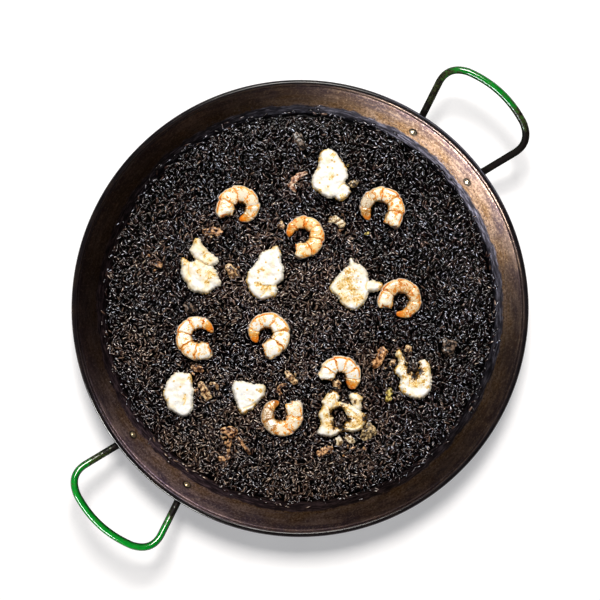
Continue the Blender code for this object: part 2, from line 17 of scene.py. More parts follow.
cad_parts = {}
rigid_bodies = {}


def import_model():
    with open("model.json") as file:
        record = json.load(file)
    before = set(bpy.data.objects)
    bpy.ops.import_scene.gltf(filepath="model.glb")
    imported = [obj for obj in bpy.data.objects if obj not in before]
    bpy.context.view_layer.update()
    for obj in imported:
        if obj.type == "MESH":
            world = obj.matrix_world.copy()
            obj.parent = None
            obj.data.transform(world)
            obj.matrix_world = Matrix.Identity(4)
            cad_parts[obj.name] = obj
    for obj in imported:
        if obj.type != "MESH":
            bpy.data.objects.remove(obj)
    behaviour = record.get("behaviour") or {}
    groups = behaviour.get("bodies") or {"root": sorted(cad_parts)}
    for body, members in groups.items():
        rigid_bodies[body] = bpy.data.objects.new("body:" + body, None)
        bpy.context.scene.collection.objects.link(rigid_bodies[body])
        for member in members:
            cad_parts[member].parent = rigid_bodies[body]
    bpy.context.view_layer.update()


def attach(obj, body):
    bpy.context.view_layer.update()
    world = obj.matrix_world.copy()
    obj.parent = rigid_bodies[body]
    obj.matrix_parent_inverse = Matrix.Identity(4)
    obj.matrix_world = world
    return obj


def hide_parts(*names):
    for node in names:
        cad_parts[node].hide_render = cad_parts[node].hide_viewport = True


MM = 0.001
PLAN_TURN = math.radians(47.2)

# The pan's section, as it was pressed from sheet.
SHEET = 1.5 * MM
RIM_RADIUS = 230 * MM
RIM_HEIGHT = 46 * MM
BEAD_RADIUS = 3 * MM
WALL_SLOPE = math.radians(55)
WALL_FOOT_RADIUS = 193.4 * MM  # where the cone's inner face would meet the floor
WALL_TOP = 42.6 * MM
FILLET_RADIUS = 25 * MM
PAN_SIDES = 288
SHADED_SIDE = (-0.22, 0.975, 0)  # towards the side of the wall that is painted darker, as painted shade

# Handles and rivets.
ROD_RADIUS = 3.7 * MM
ROD_SIDES = 24
HANDLE_RISE = math.radians(17.86)
HANDLE_REACH = 293.75 * MM
GRIP_BOW_RADIUS = 110 * MM
CORNER_HALF_WIDTH = 57 * MM
CORNER_ROUNDING = 20 * MM
TAB_HALF_WIDTH = 7 * MM
TAB_HALF_THICKNESS = 1.5 * MM
TAB_BELOW_RIVET = 8 * MM
TAB_ABOVE_RIVET = 7 * MM
TAB_GAP = 0.3 * MM
RIVET_BEARING = math.radians(10.1)
RIVET_HEIGHT = 29 * MM
RIVET_HEAD_RADIUS = 4 * MM
RIVET_HEAD_HEIGHT = 2 * MM
RIVET_SIDES = 40

# Rice.
BED_TOP = 14 * MM
BED_EDGE_RADIUS = 198.8 * MM
BED_EDGE_HEIGHT = 10.5 * MM
BED_EDGE_BAND = 14 * MM
CORE_DEPTH = 3.0 * MM  # the core's top lies this far under the grains' level
CORE_SIDES = 180
TOPPING_FLOOR = 12.3 * MM  # the level that toppings lie on, pressed a little into the bed
GRAIN_LENGTH = 6.1 * MM
GRAIN_WIDTH = 1.85 * MM
GRAIN_PITCH = 2.92 * MM
GRAIN_SIDES = 5
GRAIN_PIECES = 5
GRAINS_ON_TOP = 3600  # strewn over the square round the bed, and kept where they land on bare rice
STRANDED_GRAINS = 260
STRANDED_LIFT = 1.2 * MM

# Where the ink was thinner and the rice browner, as (x, y, radius) on the plan in millimetres.
BROWNER_RICE = [
    (-95, -82, 26), (-55, -112, 30), (-72, -140, 26), (45, -108, 34), (70, -60, 24), (0, -60, 28),
    (-40, 62, 34), (-72, 38, 26), (40, 85, 26), (-125, -78, 30), (95, -50, 22), (42, 20, 38), (-100, 80, 24),
    (-150, 46, 20), (-110, -150, 60), (0, -165, 55), (60, -150, 30), (-170, -40, 30), (0, 10, 60),
    (-70, 10, 40), (60, -100, 50), (-10, 130, 24), (-30, -90, 40),
]
# Where more grains carry a painted highlight, and where the rice stayed wet and black, in the same way.
MORE_PAINTED_HIGHLIGHT_RICE = [
    (-70, -90, 90), (-115, -115, 85), (-50, -150, 60), (20, -150, 60), (-30, -20, 60), (-160, -30, 55),
]
BLACKER_RICE = [(10, 160, 80), (-90, 130, 50), (90, 150, 50)]

# Prawns.
PRAWN_SEGMENTS = 6
PRAWN_FLATNESS = 0.78
PRAWN_BOXINESS = 0.64  # power that swells the round section towards a box: 1 leaves it round
PRAWN_STATIONS = 130
PRAWN_SIDES = 36
# Bearings round the body's section, from its outer side over the top.
VEIN_ANGLE = math.radians(44)
INNER_SKIRT_ANGLE = math.radians(205)
OUTER_SKIRT_ANGLE = math.radians(332)

# Each prawn: centre, radius of the curl and width of the body at head and tail, the bearing of the head
# and the turn from head to tail, in degrees, anticlockwise positive, how orange the flesh went, and the
# stretch that soaked up stock and went dull brown, as its start, end and strength.
PRAWNS = [
    dict(centre=(-61, 103), radius=(15.5, 11.5), width=(19, 9), head=211, turn=-298, orange=0.7),
    dict(centre=(3, 74), radius=(15, 14), width=(16, 9), head=245, turn=290, orange=1),
    dict(centre=(82, 101), radius=(17, 15), width=(17, 10), head=-60, turn=276, orange=0.72,
         dulled=(0.55, 0.95, 0.7)),
    dict(centre=(103, 8), radius=(16, 14), width=(15.5, 9), head=203, turn=-305, orange=0.85,
         dulled=(0.05, 0.95, 0.35)),
    dict(centre=(-104, -29), radius=(15.5, 14.5), width=(18, 9), head=-45, turn=-290, orange=0.5),
    dict(centre=(-34, -26), radius=(16.2, 13), width=(19, 10), head=262, turn=310, orange=0.2),
    dict(centre=(41, -70), radius=(13.5, 13.5), width=(17.5, 15), head=190, turn=-235, orange=0),
    dict(centre=(-20, -109), radius=(15.5, 13), width=(16.5, 10), head=49, turn=-303, orange=0.7,
         dulled=(0.45, 0.95, 0.9)),
]

# Fish.
FISH_THICKNESS = 10.5 * MM
FISH_ROUNDING = 2.8 * MM
FISH_HEM = 0.8 * MM  # how far the thin edge reaches past the thick flesh
FISH_GRID = 1.05 * MM

# Each flake of white fish: the corners of its rounded outline, how much stock it took up, its browned
# patches and dark ones as (x, y, radius), where it is finely speckled, its small brown spots, the paths
# of its creases, and where its edge is golden.
FISH = [
    dict(
        outline=[(21, 158), (28, 162), (34, 160.5), (41, 152), (46, 144), (48, 135.5), (45.5, 127.5),
                 (50.5, 121.5), (50, 117), (44, 110.5), (38, 111), (35.5, 113.5), (29, 113), (16, 121),
                 (12.5, 126), (13.5, 134), (18.5, 144), (19.5, 152)],
        browned=[(34, 156, 4), (17, 143, 4), (20, 152, 4), (20, 120, 3), (44, 113, 5), (33, 134, 4)],
        spots=[(35, 149.5), (32.5, 151), (28, 144), (33, 143), (30, 131.5), (21, 121), (28.5, 124),
               (38, 136), (20, 128), (41, 115)],
        creases=[[(46, 128), (42, 126), (39, 122)]],
        golden=[(20, 155, 9), (45, 114, 10), (16, 121, 6), (44, 147, 6)],
    ),
    dict(
        outline=[(-106, 71), (-102.5, 70), (-101, 66), (-93.5, 57.5), (-85.5, 51), (-84, 47.5), (-89, 44),
                 (-94, 42.5), (-104, 49.5), (-109, 53.5), (-112, 59.5), (-109.5, 64)],
        stock=0.4,
        browned=[(-107, 68, 4), (-97, 55, 5), (-92, 49, 4)],
        spots=[(-91, 48.5), (-94, 45.5)],
        golden=[(-107, 69, 5)],
    ),
    dict(
        outline=[(-120, 51.5), (-114.5, 47.5), (-109, 47), (-105.5, 48.5), (-98, 46), (-89, 42), (-85, 34.5),
                 (-81.5, 25), (-87, 21), (-95.5, 15.5), (-105, 16.5), (-112, 19.5), (-115.5, 26),
                 (-119.5, 31), (-121, 39), (-120.5, 45)],
        stock=0.3,
        browned=[(-93, 36, 7), (-88, 33, 4), (-103, 38, 4), (-108, 45, 3), (-95, 27, 4), (-117, 47, 4)],
        spots=[(-101.5, 33.5), (-112, 28), (-104, 37)],
        creases=[[(-113, 47), (-114, 38), (-112, 32)]],
        golden=[(-119, 50, 5), (-96, 16, 5)],
    ),
    dict(
        outline=[(-23.5, 63), (-20, 55), (-20, 47.5), (-17.5, 41), (-17.5, 32.5), (-20, 27.5), (-25, 23.5),
                 (-23.5, 19), (-26, 13), (-31, 12), (-37.5, 9.5), (-45.5, 12), (-50.5, 17), (-52.5, 23),
                 (-54.5, 28), (-52, 37), (-44.5, 46), (-40.5, 54), (-34, 58.5), (-29, 60.5)],
        browned=[(-42, 38, 3), (-38, 40, 2.5), (-37, 21, 5), (-32, 21.5, 4), (-42, 24, 4), (-27, 62, 3),
                 (-28, 14, 3), (-54, 24, 3)],
        spots=[(-35, 47), (-42, 37), (-43, 31), (-25, 30), (-22, 39), (-38, 22), (-34, 20), (-30, 23),
               (-46, 26), (-22, 52)],
        creases=[[(-46, 26), (-39, 23), (-32, 22.5), (-24, 23)], [(-33, 21), (-36, 16), (-40, 12)]],
        golden=[(-50, 16, 9), (-28, 12, 6), (-53, 30, 6), (-22, 62, 5)],
    ),
    dict(
        outline=[(52, 51), (55, 46.5), (63, 42.5), (68.5, 36), (70, 28.5), (76.5, 27.5), (84, 24.5),
                 (81, 20), (76.5, 17), (70, 17.5), (68.5, 12), (66, 7), (63, 3), (55, -1.5), (48, 0.5),
                 (42.5, 5.5), (40, 10.5), (30.5, 20), (34.5, 27), (39, 33.5), (46, 40), (50.5, 44)],
        stock=0.2,
        browned=[(50, 29, 9), (53, 19, 9), (45, 12, 8), (42, 23, 7), (55, 38, 4), (58, 8, 6), (49, 37, 5),
                 (81, 22, 3), (62, 12, 5)],
        speckled=[(50, 28, 9), (53, 17, 8)],
        spots=[(43, 29), (46, 24), (53, 23), (40, 15), (59, 33), (62, 27), (55, 9)],
        creases=[[(68.5, 27), (67, 22), (68, 18.5)], [(46, 31), (51, 25), (52, 18)]],
        golden=[(32, 20, 8), (46, 2, 9), (83, 23, 5), (60, 2, 6)],
    ),
    dict(
        outline=[(-125, -66.5), (-114.5, -67), (-111.5, -70), (-110.5, -77), (-109.5, -86), (-110, -95),
                 (-110.5, -103), (-116, -109.5), (-121, -109.5), (-127, -106.5), (-133.5, -102), (-136, -95),
                 (-139.5, -89), (-137.5, -82), (-135.5, -75.5), (-131, -70.5)],
        browned=[(-113, -71, 3), (-136, -93, 3)],
        spots=[(-128.5, -74), (-122, -80), (-118.5, -92), (-117, -88)],
        creases=[[(-119, -99), (-117, -94), (-118, -88)]],
        golden=[(-111, -72, 6), (-118, -96, 5), (-137, -90, 7)],
    ),
    dict(
        outline=[(-67, -76), (-60, -75.5), (-48, -77.5), (-38.5, -79), (-36, -83), (-37.5, -89.5),
                 (-41, -92.5), (-48, -102), (-53, -105), (-58.5, -107.5), (-62, -104), (-65, -95),
                 (-68.5, -83.5)],
        browned=[(-55, -105, 4), (-61, -105, 3), (-40, -84, 3), (-46, -99, 3)],
        spots=[(-64, -82), (-44, -83), (-51, -93), (-48, -93.5), (-54, -83)],
        creases=[[(-58, -102), (-52, -100), (-45, -96)]],
        golden=[(-38, -86, 6), (-60, -106, 6), (-50, -103, 5)],
    ),
    dict(
        outline=[(101.5, -43), (105, -50), (109, -55.5), (108.5, -60), (114, -66), (118, -69), (121, -63),
                 (123.5, -58), (121.5, -54.5), (127, -53), (131.5, -57), (133, -66), (134, -76.5),
                 (129.5, -88), (121.5, -92), (112.5, -90.5), (106, -86.5), (101.5, -81), (103, -71.5),
                 (96.5, -64), (101, -58), (100.5, -51), (98, -47)],
        stock=0.2,
        browned=[(106, -70, 4), (124, -74, 5), (117, -77, 6), (128, -62, 5), (106, -60, 6), (106, -84, 4),
                 (101, -49, 5), (131, -80, 3), (119, -70, 5)],
        speckled=[(112, -72, 7), (122, -72, 8), (102, -52, 5)],
        charred=[(111, -64, 5), (117, -70, 5), (122, -64, 5), (121, -57, 3), (108, -57, 3)],
        spots=[(126, -78), (121, -76), (112, -88), (105, -76), (129, -69)],
        creases=[[(111, -68), (112, -74), (111, -80)], [(118, -71), (119, -77)]],
        golden=[(99, -47, 8), (98, -64, 6), (133, -60, 8), (104, -84, 6)],
    ),
    dict(
        outline=[(55.5, -87), (60, -88.5), (63.5, -91.5), (61.5, -95), (62, -103), (58, -103), (54.5, -98.5),
                 (51, -91), (52, -88.5)],
        stock=0.3,
        speckled=[(58, -92, 6)],
        charred=[(56, -95, 2.5)],
        browned=[(58, -95, 4), (61, -90, 3)],
        golden=[(60, -90, 6)],
    ),
]
FISH_RING = dict(
    outline=[(28, -88), (33, -84.5), (39.5, -90), (38, -95.5), (42, -97), (47, -98), (55, -101),
             (63, -106.5), (68, -112), (65.5, -118), (62, -123.5), (54, -126), (45, -125), (40, -127),
             (33.5, -130), (23, -130), (18.5, -127), (22, -118.5), (19.5, -108.5), (24, -100), (23, -95)],
    hole=[(37.5, -102.5), (42, -103.5), (46.5, -108), (47, -113.5), (43.5, -119.5), (39, -121), (34.5, -118),
          (35, -112), (33, -107)],
    stock=0.3,
    speckled=[(46, -101, 9), (57, -114, 11), (36, -104, 7), (31, -91, 6), (44, -123, 5)],
    browned=[(28, -118, 5), (56, -110, 5), (27, -110, 5), (23, -100, 5), (33, -90, 4), (50, -112, 5),
             (46, -102, 4), (60, -116, 6), (44, -124, 5), (62, -111, 5), (54, -119, 6), (33, -103, 5),
             (31, -120, 5), (38, -98, 4)],
    charred=[(33, -107, 5), (35, -119, 5), (43, -122, 5), (49, -113, 5), (42, -101, 4), (66, -112, 5),
             (30, -84, 4)],
    spots=[(27, -118), (29, -126), (46, -106), (52, -110), (50, -117), (57, -113), (62, -117), (42, -122),
           (31, -120), (33, -119), (48, -116), (49, -121)],
    creases=[[(36, -88), (36, -96), (32, -103), (31, -113)], [(45, -99), (54, -106), (60, -112)],
             [(46, -120), (54, -122), (61, -119)]],
    golden=[(30, -87, 9), (20, -110, 9), (64, -118, 10), (38, -104, 8), (45, -122, 8)],
)

# Squid.
STRIP_HEIGHT = 0.62  # half the height of a strip as a share of half its width
# Each kind, by how it took the pan and the ink: its slot, and its dark, middle and light colours.
SQUID_KINDS = dict(
    pink=("squid_brown", "5a2e1c", "c08660", "ffe8d0"),
    brown=("squid_brown", "24120c", "84593a", "e6b684"),
    tan=("squid_brown", "301c14", "a67c52", "f4d4a4"),
    rust=("squid_brown", "42220e", "b47a46", "fccc98"),
    dark=("squid_dark", "0a0606", "2c211a", "7e6a5c"),
    olive=("squid_dark", "241810", "74603f", "dcc090"),
    pale=("squid_pale", "6a4a2a", "e2c898", "fff6e4"),
    yellow=("squid_pale", "42360e", "a88c34", "fbe88c"),
)

# Strips half sunk in the rice, each a path of the middle of the strip and its width.
SQUID_STRIPS = [
    dict(path=[(8, 139), (0, 136.5), (-6, 131.5), (-8.5, 125), (-4, 119)], width=6, kind="pink"),
    dict(path=[(30, 93), (38, 89.5), (46, 84.5)], width=8, kind="pale"),
    dict(path=[(-100, 78), (-90, 79.5), (-79, 77)], width=8, kind="brown"),
    dict(path=[(-75, 45), (-71, 39.5), (-66.5, 33)], width=9, kind="tan"),
    dict(path=[(-149, 47), (-141, 43)], width=6, kind="brown"),
    dict(path=[(-112, -60), (-105, -61), (-99, -65)], width=7, kind="brown"),
    dict(path=[(-103, -75), (-98, -84), (-94, -94)], width=8, kind="tan"),
    dict(path=[(-93, -77), (-87, -77.5), (-84, -84)], width=4, kind="tan"),
    dict(path=[(-15, -64), (-10, -70), (-5, -78)], width=7, kind="tan"),
    dict(path=[(-13, -78), (-19, -78.5), (-22, -84), (-18, -89)], width=4, kind="brown"),
    dict(path=[(84, -39), (84, -46), (80, -54), (75, -61)], width=9, kind="rust"),
    dict(path=[(33.5, -79), (38, -77.5), (42, -79)], width=7, kind="tan"),
    dict(path=[(63, -134), (69, -128), (76, -121)], width=11, kind="olive"),
    dict(path=[(17, -149), (25, -146), (34, -143)], width=8, kind="brown"),
    dict(path=[(-22.5, 82.5), (-17, 87)], width=6, kind="tan"),
    dict(path=[(-119, 5), (-113, 1), (-110.5, -5)], width=9, kind="dark"),
    dict(path=[(145, -39), (151, -41), (158, -42)], width=15, kind="dark"),
    dict(path=[(-6, 180), (-1, 172), (4, 162)], width=9, kind="dark"),
    dict(path=[(53, 131), (56.5, 124)], width=8, kind="olive"),
    dict(path=[(94.5, -52), (95, -58)], width=5, kind="tan"),
    dict(path=[(92, -81), (91, -88), (89, -96)], width=6, kind="yellow"),
    dict(path=[(41.5, -131.5), (40, -135.5), (41.5, -140.5)], width=6.5, kind="pale"),
    dict(path=[(46, -131.5), (50.5, -133.5), (56, -137.5)], width=6, kind="pale"),
    dict(path=[(107.5, -40), (114.5, -41.5)], width=7, kind="tan"),
]

# Dark shreds caught between two lobes of fish.
TORN_SHREDS = [
    dict(path=[(112, -54), (113.5, -59), (116, -64)], width=5),
    dict(path=[(119.5, -54), (118, -59), (118.5, -65)], width=5),
    dict(path=[(115.5, -52), (116, -58), (117, -62)], width=4),
]

# Torn bits strewn between the toppings, as (x, y, spread, count) on the plan in millimetres.
SQUID_CRUMBS = dict(
    rust=[(-98, -84, 9, 10), (-104, -62, 7, 6), (-70, -138, 11, 9), (-70, 40, 6, 4), (-149, 46, 7, 4),
          (48, -137, 11, 8), (36, 89, 7, 5), (110, -46, 6, 4), (-20, -84, 6, 4), (30, -146, 8, 4)],
    tan=[(-97, -86, 8, 8), (-72, -132, 9, 8), (70, -127, 8, 7), (38, -76, 7, 5), (92, -60, 6, 4),
         (-92, 78, 7, 3), (-10, -70, 5, 3), (-72, 38, 5, 3)],
    yellow=[(91, -88, 5, 4), (69, 76, 3, 2), (50, 145, 1, 1), (-16, 44, 2, 1), (74, -124, 4, 3)],
)

# A whole baby squid: its body, then its arms.
BABY_SQUID = [
    dict(path=[(-75, -122), (-66, -131)], width=11),
    dict(path=[(-70, -128), (-73, -140), (-73, -151)], width=4.5),
    dict(path=[(-67, -129), (-58, -140), (-51, -150)], width=4),
    dict(path=[(-72, -125), (-82, -125)], width=7),
    dict(path=[(-85, -153), (-78, -154), (-71, -150)], width=6),
]

# Camera: straight above, so far off that the pan's wall is foreshortened as in the picture.
CAMERA_ABOVE_RIM = 1600 * MM
PICTURE_WIDTH = 602.5 * MM  # of the picture at the rim's level
PICTURE_OFFSET = (-0.07 * MM, 8.55 * MM)  # the picture's middle on the plan, from the pan's axis


# Small tools


def linear(hex_colour):
    """A colour written as sRGB hex, as Blender's linear values."""
    parts = [int(hex_colour[i : i + 2], 16) / 255 for i in (0, 2, 4)]
    return [p / 12.92 if p <= 0.04045 else ((p + 0.055) / 1.055) ** 2.4 for p in parts] + [1.0]


def every(millimetres):
    """The scale of a pattern that repeats about every so many millimetres."""
    return 1 / (millimetres * MM)


def new_material(name):
    """A material with one Principled shader, as (material, node tree, shader)."""
    made = bpy.data.materials.new(name)
    made.use_nodes = True
    return made, made.node_tree, made.node_tree.nodes["Principled BSDF"]


def feed(tree, fed, inputs):
    """Sets each of a node's sockets named in inputs to a value, or links another node's output to it."""
    for socket, value in inputs.items():
        if isinstance(value, bpy.types.NodeSocket):
            tree.links.new(value, fed.inputs[socket])
        else:
            fed.inputs[socket].default_value = value


def node(tree, kind, inputs=None, stops=(), **settings):
    """Adds one node and feeds it. Settings set its properties, and stops are a ramp's (position, colour)
    pairs."""
    made = tree.nodes.new("ShaderNode" + kind)
    for name, value in settings.items():
        setattr(made, name, value)
    for place, (position, colour) in enumerate(stops):
        ramp = made.color_ramp.elements
        stop = ramp[place] if place < 2 else ramp.new(position)
        stop.position = position
        stop.color = linear(colour)
    feed(tree, made, inputs or {})
    return made


def eased(t):
    """A share from 0 to 1 that starts and ends gently."""
    t = np.clip(t, 0, 1)
    return t * t * (3 - 2 * t)


def wave(point, size, seed=0.0):
    """Smooth noise from about -1 to 1, with bumps about this size in metres."""
    return noise.noise(Vector(point) / size + Vector((seed, 7.3 * seed, 0)))


def smooth_path(corners, per_span, closed=False):
    """Points of a Catmull-Rom curve through the corners."""
    points = [np.array(c, float) for c in corners]
    spans = len(points) if closed else len(points) - 1
    made = []
    for i in range(spans):
        if closed:
            before, start, end, after = (points[(i + k) % len(points)] for k in (-1, 0, 1, 2))
        else:
            start, end = points[i], points[i + 1]
            before = points[i - 1] if i else 2 * start - end
            after = points[i + 2] if i + 2 < len(points) else 2 * end - start
        for step in range(per_span):
            t = step / per_span
            made.append(
                0.5
                * (
                    2 * start
                    + (end - before) * t
                    + (2 * before - 5 * start + 4 * end - after) * t**2
                    + (3 * start - before - 3 * end + after) * t**3
                )
            )
    if not closed:
        made.append(points[-1])
    return np.array(made)


def distance_along(points):
    """How far along a line each of its points lies."""
    return np.concatenate([[0], np.cumsum(np.linalg.norm(np.diff(points, axis=0), axis=1))])


def resampled(points, count, closed=False):
    """The same curve as this many points at even steps."""
    line = np.vstack([points, points[:1]]) if closed else points
    along = distance_along(line)
    wanted = np.linspace(0, along[-1], count, endpoint=not closed)
    return np.array([[np.interp(s, along, line[:, k]) for k in range(line.shape[1])] for s in wanted])


def inside_outline(points, outline):
    """For each 2D point, whether it lies in the closed outline."""
    inside = np.zeros(len(points), bool)
    x, y = points[:, 0], points[:, 1]
    for (x0, y0), (x1, y1) in zip(outline, np.roll(outline, -1, axis=0)):
        if y0 == y1:
            continue
        crosses = (y0 > y) != (y1 > y)
        inside ^= crosses & (x < x0 + (y - y0) / (y1 - y0) * (x1 - x0))
    return inside


def distance_to_line(points, line, closed=False):
    """For each 2D point, its distance to the nearest stretch of a line."""
    ends = np.roll(line, -1, axis=0) if closed else line[1:]
    starts = line if closed else line[:-1]
    nearest = np.full(len(points), np.inf)
    for start, end in zip(starts, ends):
        run = end - start
        share = np.clip(((points - start) @ run) / max(run @ run, 1e-12), 0, 1)
        nearest = np.minimum(nearest, np.linalg.norm(points - start - share[:, None] * run, axis=1))
    return nearest


def nearness(places, marks, decay=None):
    """For each place, from 0 to 1, how near it is to the nearest of the marks (x, y, radius) in mm."""
    near = np.zeros(len(places))
    for x, y, *radius in marks:
        gap = np.linalg.norm(places - np.array((x, y)) * MM, axis=1) / ((radius[0] if radius else decay) * MM)
        near = np.maximum(near, np.exp(-(gap**2)))
    return near


def loft(rings):
    """Points and faces of a skin over rings of points, each end closed to a point in its middle."""
    rings = np.asarray(rings, float)
    count, sides = rings.shape[:2]
    points = np.vstack([rings.reshape(-1, 3), rings[0].mean(axis=0), rings[-1].mean(axis=0)])
    faces = []
    for i in range(count - 1):
        low, high = i * sides, (i + 1) * sides
        for j in range(sides):
            k = (j + 1) % sides
            faces.append((low + j, low + k, high + k, high + j))
    first, last, top = count * sides, count * sides + 1, (count - 1) * sides
    for j in range(sides):
        k = (j + 1) % sides
        faces.append((first, k, j))
        faces.append((last, top + j, top + k))
    return points, faces


def store_values(data, values):
    """Gives every point of a mesh a number under each name, for its finish to read."""
    for name, numbers in values.items():
        stored = data.attributes.new(name, "FLOAT", "POINT")
        stored.data.foreach_set("value", np.asarray(numbers, np.float32).ravel())


def make_piece(name, points, faces, finish, slot, stands_for=(), on_plan=True, sharp=None, **values):
    """A named piece that rides on the pan, with its values stored on its points."""
    data = bpy.data.meshes.new(name)
    data.from_pydata([tuple(p) for p in points], [], faces)
    mesh = bmesh.new()
    mesh.from_mesh(data)
    bmesh.ops.recalc_face_normals(mesh, faces=mesh.faces)
    mesh.to_mesh(data)
    mesh.free()
    store_values(data, values)
    place_piece(name, data, finish, stands_for, on_plan, sharp)


def place_piece(name, data, finish, stands_for=(), on_plan=True, sharp=None):
    """Puts a mesh in the scene as a piece. One drawn on the plan is turned to the part's frame."""
    if on_plan:
        data.transform(Matrix.Rotation(-PLAN_TURN, 4, "Z"))
    data.materials.append(finish)
    data.shade_smooth()
    if sharp:
        data.set_sharp_from_angle(angle=math.radians(sharp))
    piece = bpy.data.objects.new(name, data)
    bpy.context.scene.collection.objects.link(piece)
    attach(piece, "root")
    if stands_for:
        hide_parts(*stands_for)


# Pan


def wall_radius(height, offset=0.0):
    """Radius of the cone at a height, measured to its inner face moved out by offset."""
    return WALL_FOOT_RADIUS + (height - SHEET) / math.tan(WALL_SLOPE) + offset / math.sin(WALL_SLOPE)


def fillet_point(angle, offset=0.0):
    """(radius, height) on the inner face of the round between floor and cone, moved out by offset."""
    tangent = FILLET_RADIUS * math.tan(WALL_SLOPE / 2)
    reach = FILLET_RADIUS + offset
    return (
        WALL_FOOT_RADIUS - tangent + reach * math.cos(angle),
        SHEET + FILLET_RADIUS + reach * math.sin(angle),
    )


def pan_section():
    """(radius, height, soot) from the middle of the floor, over the rim and back to the axis outside."""
    angles = np.linspace(-math.pi / 2, WALL_SLOPE - math.pi / 2, 13)
    bead_radius, bead_height = RIM_RADIUS - BEAD_RADIUS, RIM_HEIGHT - BEAD_RADIUS
    section = [(radius, SHEET, 0) for radius in (1 * MM, 60 * MM, 120 * MM, 160 * MM)]
    section += [(*fillet_point(a), 0) for a in angles]
    top_of_fillet = section[-1][1]
    for share in np.linspace(0, 1, 15)[1:]:
        height = top_of_fillet + share * (WALL_TOP - top_of_fillet)
        section.append((wall_radius(height), height, 0))
    lip = wall_radius(WALL_TOP)
    # The groove's soot values paint it a little darker, as painted shade under the bead.
    groove = [(0.5, 0.6, 0), (1.0, 0.9, 0.1), (1.25, 0.75, 0.3), (1.5, 0.6, 0.3), (1.75, 0.75, 0.1)]
    section += [(lip + out * MM, WALL_TOP + up * MM, soot) for out, up, soot in groove]
    for degrees in range(164, -95, -12):
        a = math.radians(degrees)
        out, up = BEAD_RADIUS * math.cos(a), BEAD_RADIUS * math.sin(a)
        section.append((bead_radius + out, bead_height + up, float(eased((142 - degrees) / 30))))
    under_bead = bead_height - 0.8 * BEAD_RADIUS
    for height in np.linspace(under_bead, fillet_point(angles[-1], SHEET)[1], 8)[:-1]:
        section.append((wall_radius(height, SHEET), height, 1))
    section += [(*fillet_point(a, SHEET), 1) for a in reversed(angles)]
    section += [(radius, 0, 1) for radius in (160 * MM, 110 * MM, 60 * MM, 1 * MM)]
    return section


def make_pan():
    """The pan, its section spun round the axis."""
    section = pan_section()
    bearings = np.linspace(0, 2 * math.pi, PAN_SIDES, endpoint=False)
    rings = [
        np.column_stack([r * np.cos(bearings), r * np.sin(bearings), np.full(PAN_SIDES, h)])
        for r, h, _ in section
    ]
    points, faces = loft(rings)
    soot = np.repeat([s for _, _, s in section], PAN_SIDES).tolist() + [0, 1]
    reach = np.repeat(distance_along(np.array(section)[:, :2]), PAN_SIDES).tolist() + [0, 0.5]
    make_piece("pan_pressing", points, faces, seasoned_carbon_steel(), "seasoned_steel", ["pan"],
               on_plan=False, sharp=50, soot=soot, reach=reach)


def bronze_sheen(tree, paler, lines, smeared, speckle):
    """Colour of the bare steel: gold to grey, scoured bright in long smears, with grey streaks along the
    turned lines, pale glints and brown flecks."""
    sheen = node(tree, "ValToRGB", {0: paler},
                 stops=[(0.1, "664c30"), (1.0, "44373a"), (0.5, "584537")]).outputs[0]
    worn_bright = node(tree, "TexNoise", {"Vector": smeared, "Scale": every(5), "Detail": 6}).outputs["Fac"]
    scoured = node(tree, "MapRange", {0: worn_bright, 1: 0.45, 2: 0.65, 3: 0, 4: 0.6}).outputs[0]
    sheen = node(tree, "Mix", {0: scoured, 6: sheen, 7: linear("887264")}, data_type="RGBA").outputs[2]
    streak = node(tree, "MapRange", {0: lines, 1: 0.52, 2: 0.66, 3: 0, 4: 0.45}).outputs[0]
    streaked = node(tree, "Mix", {0: streak, 6: sheen, 7: linear("4d454b")}, data_type="RGBA").outputs[2]
    glint = node(tree, "MapRange", {0: speckle, 1: 0.47, 2: 0.36, 3: 0, 4: 0.6}).outputs[0]
    glinting = node(tree, "Mix", {0: glint, 6: streaked, 7: linear("a08a78")}, data_type="RGBA").outputs[2]
    fleck = node(tree, "MapRange", {0: speckle, 1: 0.52, 2: 0.61}).outputs[0]
    thick = node(tree, "MapRange", {0: paler, 3: 0.9, 4: 0.45}).outputs[0]
    fleck = node(tree, "Math", {0: fleck, 1: thick}, operation="MULTIPLY").outputs[0]
    return node(tree, "Mix", {0: fleck, 6: glinting, 7: linear("341f10")}, data_type="RGBA").outputs[2]


def shade_painted_by_side(tree, place, paler, sheen):
    """The sheen painted darker on one side of the pan's wall, and opposite it on the upper wall alone, as
    painted shade."""
    side = node(tree, "VectorMath", {0: place, 1: SHADED_SIDE}, operation="DOT_PRODUCT").outputs["Value"]
    # burnt and smoked here are masks of painted shade.
    burnt = node(tree, "MapRange", {0: side, 1: 50 * MM, 2: 170 * MM, 3: 0, 4: 0.74}).outputs[0]
    smoked = node(tree, "MapRange", {0: side, 1: -120 * MM, 2: -190 * MM, 3: 0, 4: 0.45}).outputs[0]
    smoked = node(tree, "Math", {0: smoked, 1: paler}, operation="MULTIPLY").outputs[0]
    darker = node(tree, "Math", {0: burnt, 1: smoked}, operation="MAXIMUM").outputs[0]
    return node(tree, "Mix", {0: darker, 6: sheen, 7: linear("17100f")}, data_type="RGBA").outputs[2]


